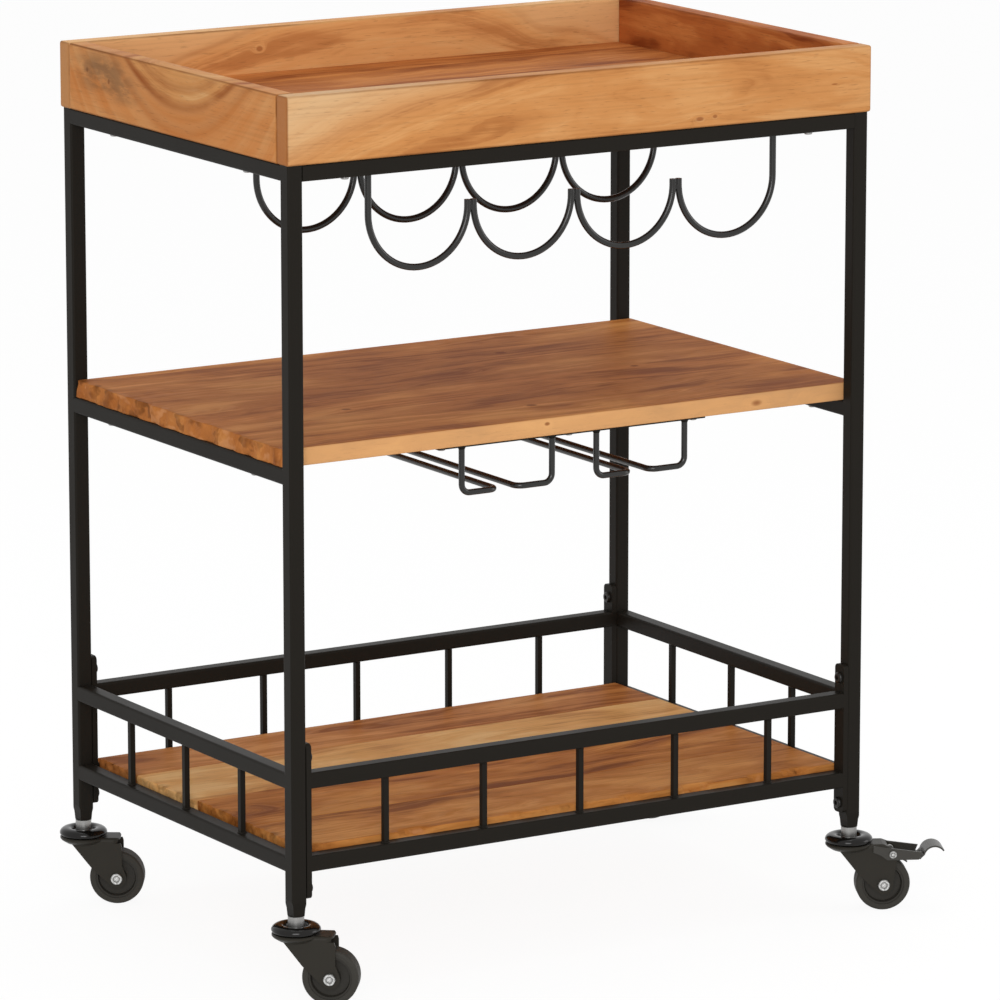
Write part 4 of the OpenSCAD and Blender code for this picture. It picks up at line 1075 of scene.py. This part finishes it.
leg_x = (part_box("side_frame_right")[0].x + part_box("side_frame_right")[1].x) / 2
leg_y = (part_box("basket_panel_rear")[0].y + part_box("basket_panel_rear")[1].y) / 2
spindle_feet = [(pitch * k, side * leg_y) for k in (-2, -1, 0, 1, 2) for side in (-1, 1)]
spindle_feet += [(side * leg_x, pitch * k) for k in (-1, 0, 1) for side in (-1, 1)]
marks = []
for x, y in spindle_feet:
    marks.append(((x, y, rail_top), up, round_bead))
    marks.append(((x, y, rail_under), down, round_bead))

strip_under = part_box("glass_rack_strips")[0].z
glass_low, glass_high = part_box("glass_rack_left")
for node in ("glass_rack_left", "glass_rack_right"):
    low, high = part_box(node)
    for x in (low.x + rod_half, high.x - rod_half):
        for y in (glass_low.y + rod_half, glass_high.y - rod_half):
            marks.append(((x, y, strip_under), down, hanger_bead))
for node, y in rack_end_y.items():
    hung_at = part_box(node)[1].z - rack_end_down
    for x in (-rack_end_x, rack_end_x):
        marks.append(((x, y, hung_at), down, rack_bead))
grow("weld_beads", bead_tree(), marked_points("weld_places", marks), "cart", "frame_paint",
     Width=0.0046, Height=0.0014, Unevenness=0.0005, Finish=slots["frame_paint"])

# %% [markdown]
# ### Bearing caps
# A deep cap with a fat rolled rim keeps dust off the balls of each caster. It is pressed on a
# round tool, so it is a turned shape: one outline swept round an axis. A few lines of mesh code
# follow the outline exactly. The four caps are one piece, because all of them stay with the cart.
# They stand for the CAD caps, keep their outside and add the rim's full inward roll. The outline
# is drawn in millimetres, 22 from the axis and 7 high, and then set to the CAD caps' height.

# %% Turn the four bearing caps
cap_segments = 72
cap_radius = 0.022
drawn_radius, drawn_height = 22.0, 7.0
cap_outline = [
    (7.7, 1.6), (7.7, 2.9), (9.4, 3.0), (9.9, 3.5), (10.1, 4.4), (10.6, 5.4), (11.5, 6.3), (13.0, 6.85),
    (15.0, 7.0), (17.0, 6.8), (18.9, 6.2), (20.4, 5.2), (21.4, 3.9), (21.9, 2.6), (21.9, 1.6), (21.5, 0.7),
    (20.7, 0.15), (19.6, 0.0), (18.6, 0.3), (18.0, 0.9), (17.7, 1.6)]


def turned(outline, centres, segments):
    """A closed outline of (radius, height) in metres, swept round an upright axis at each centre."""
    points, faces = [], []
    count = len(outline)
    for centre in centres:
        start = len(points)
        for k in range(segments):
            angle = 2 * math.pi * k / segments
            points += [(centre[0] + r * math.cos(angle), centre[1] + r * math.sin(angle), centre[2] + h)
                       for r, h in outline]
        for k in range(segments):
            here, there = start + k * count, start + (k + 1) % segments * count
            for m in range(count):
                n = (m + 1) % count
                faces.append((here + m, here + n, there + n, there + m))
    mesh = bpy.data.meshes.new("turned")
    mesh.from_pydata(points, [], faces)
    mesh.polygons.foreach_set("use_smooth", [True] * len(faces))
    return mesh


cap_low, cap_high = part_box("caster_caps")
cap_rise = (cap_high.z - cap_low.z) / drawn_height
cap_centres = [(*joints["swivel_" + corner]["pos_m"][:2], cap_low.z) for corner in corner_names]
cap_true = [(r * cap_radius / drawn_radius, h * cap_rise) for r, h in cap_outline]
cap_mesh = turned(cap_true, cap_centres, cap_segments)
cap_mesh.materials.append(slots["caster_gloss"])
place_piece("bearing_caps", cap_mesh, "cart", "caster_caps")

# %% [markdown]
# ### Brake springs
# Two short torsion springs sit on each brake's pin, between the fork's plates, and hold the lever
# up. A spring is a wire along a helix, so a spiral curve with a round profile swept along it makes
# one, and the tree sets it on both marked points. The springs move with their lever.

# %% A tree that winds a spring on each point
helix_steps, wire_sides = 28, 10


def spring_tree():
    """Winds a wire along a helix, centres it and sets it on every point."""
    tree, source, result = start_tree("wound_spring", [
        ("Turns", "Float", 4.0), ("Coil Radius", "Float", 0.003), ("Length", "Float", 0.0036),
        ("Wire Radius", "Float", 0.0004), ("Finish", "Material", None)])
    helix, wire, sweep, half_back, centred = add_nodes(
        tree, "GeometryNodeCurveSpiral", "GeometryNodeCurvePrimitiveCircle", "GeometryNodeCurveToMesh",
        "ShaderNodeCombineXYZ", "GeometryNodeTransform")
    helix.inputs["Resolution"].default_value = helix_steps
    wire.inputs["Resolution"].default_value = wire_sides
    sweep.inputs["Fill Caps"].default_value = True
    half = calc(tree, "MULTIPLY", source["Length"], -0.5)
    for start, end in (
            (source["Turns"], helix.inputs["Rotations"]), (source["Coil Radius"], helix.inputs["Start Radius"]),
            (source["Coil Radius"], helix.inputs["End Radius"]), (source["Length"], helix.inputs["Height"]),
            (source["Wire Radius"], wire.inputs["Radius"]), (helix.outputs[0], sweep.inputs["Curve"]),
            (wire.outputs[0], sweep.inputs["Profile Curve"]), (half, half_back.inputs[2]),
            (sweep.outputs[0], centred.inputs["Geometry"]),
            (half_back.outputs[0], centred.inputs["Translation"])):
        tree.links.new(start, end)
    springs = set_on_points(tree, source["Geometry"], centred.outputs[0], Rotation="turn")
    tree.links.new(smooth_and_paint(tree, springs, source["Finish"]), result[0])
    print(tree.name, "has", len(tree.nodes), "nodes")
    return tree


# %% Wind the springs of both brakes
winding = spring_tree()
spring_from_middle = 0.0088
for corner in braked_corners:
    pin = joints["brake_" + corner]
    place, axis = Vector(pin["pos_m"]), Vector(pin["axis"])
    turn = (math.pi / 2, 0, math.atan2(-axis.x, axis.y))
    marks = [(place + axis * side * spring_from_middle, turn, (1, 1, 1)) for side in (-1, 1)]
    grow("brake_springs_" + corner, winding, marked_points("spring_places_" + corner, marks), "brake_" + corner,
         "zinc", Turns=4.0, Coil_Radius=0.0030, Length=0.0034, Wire_Radius=0.00040, Finish=slots["zinc"])
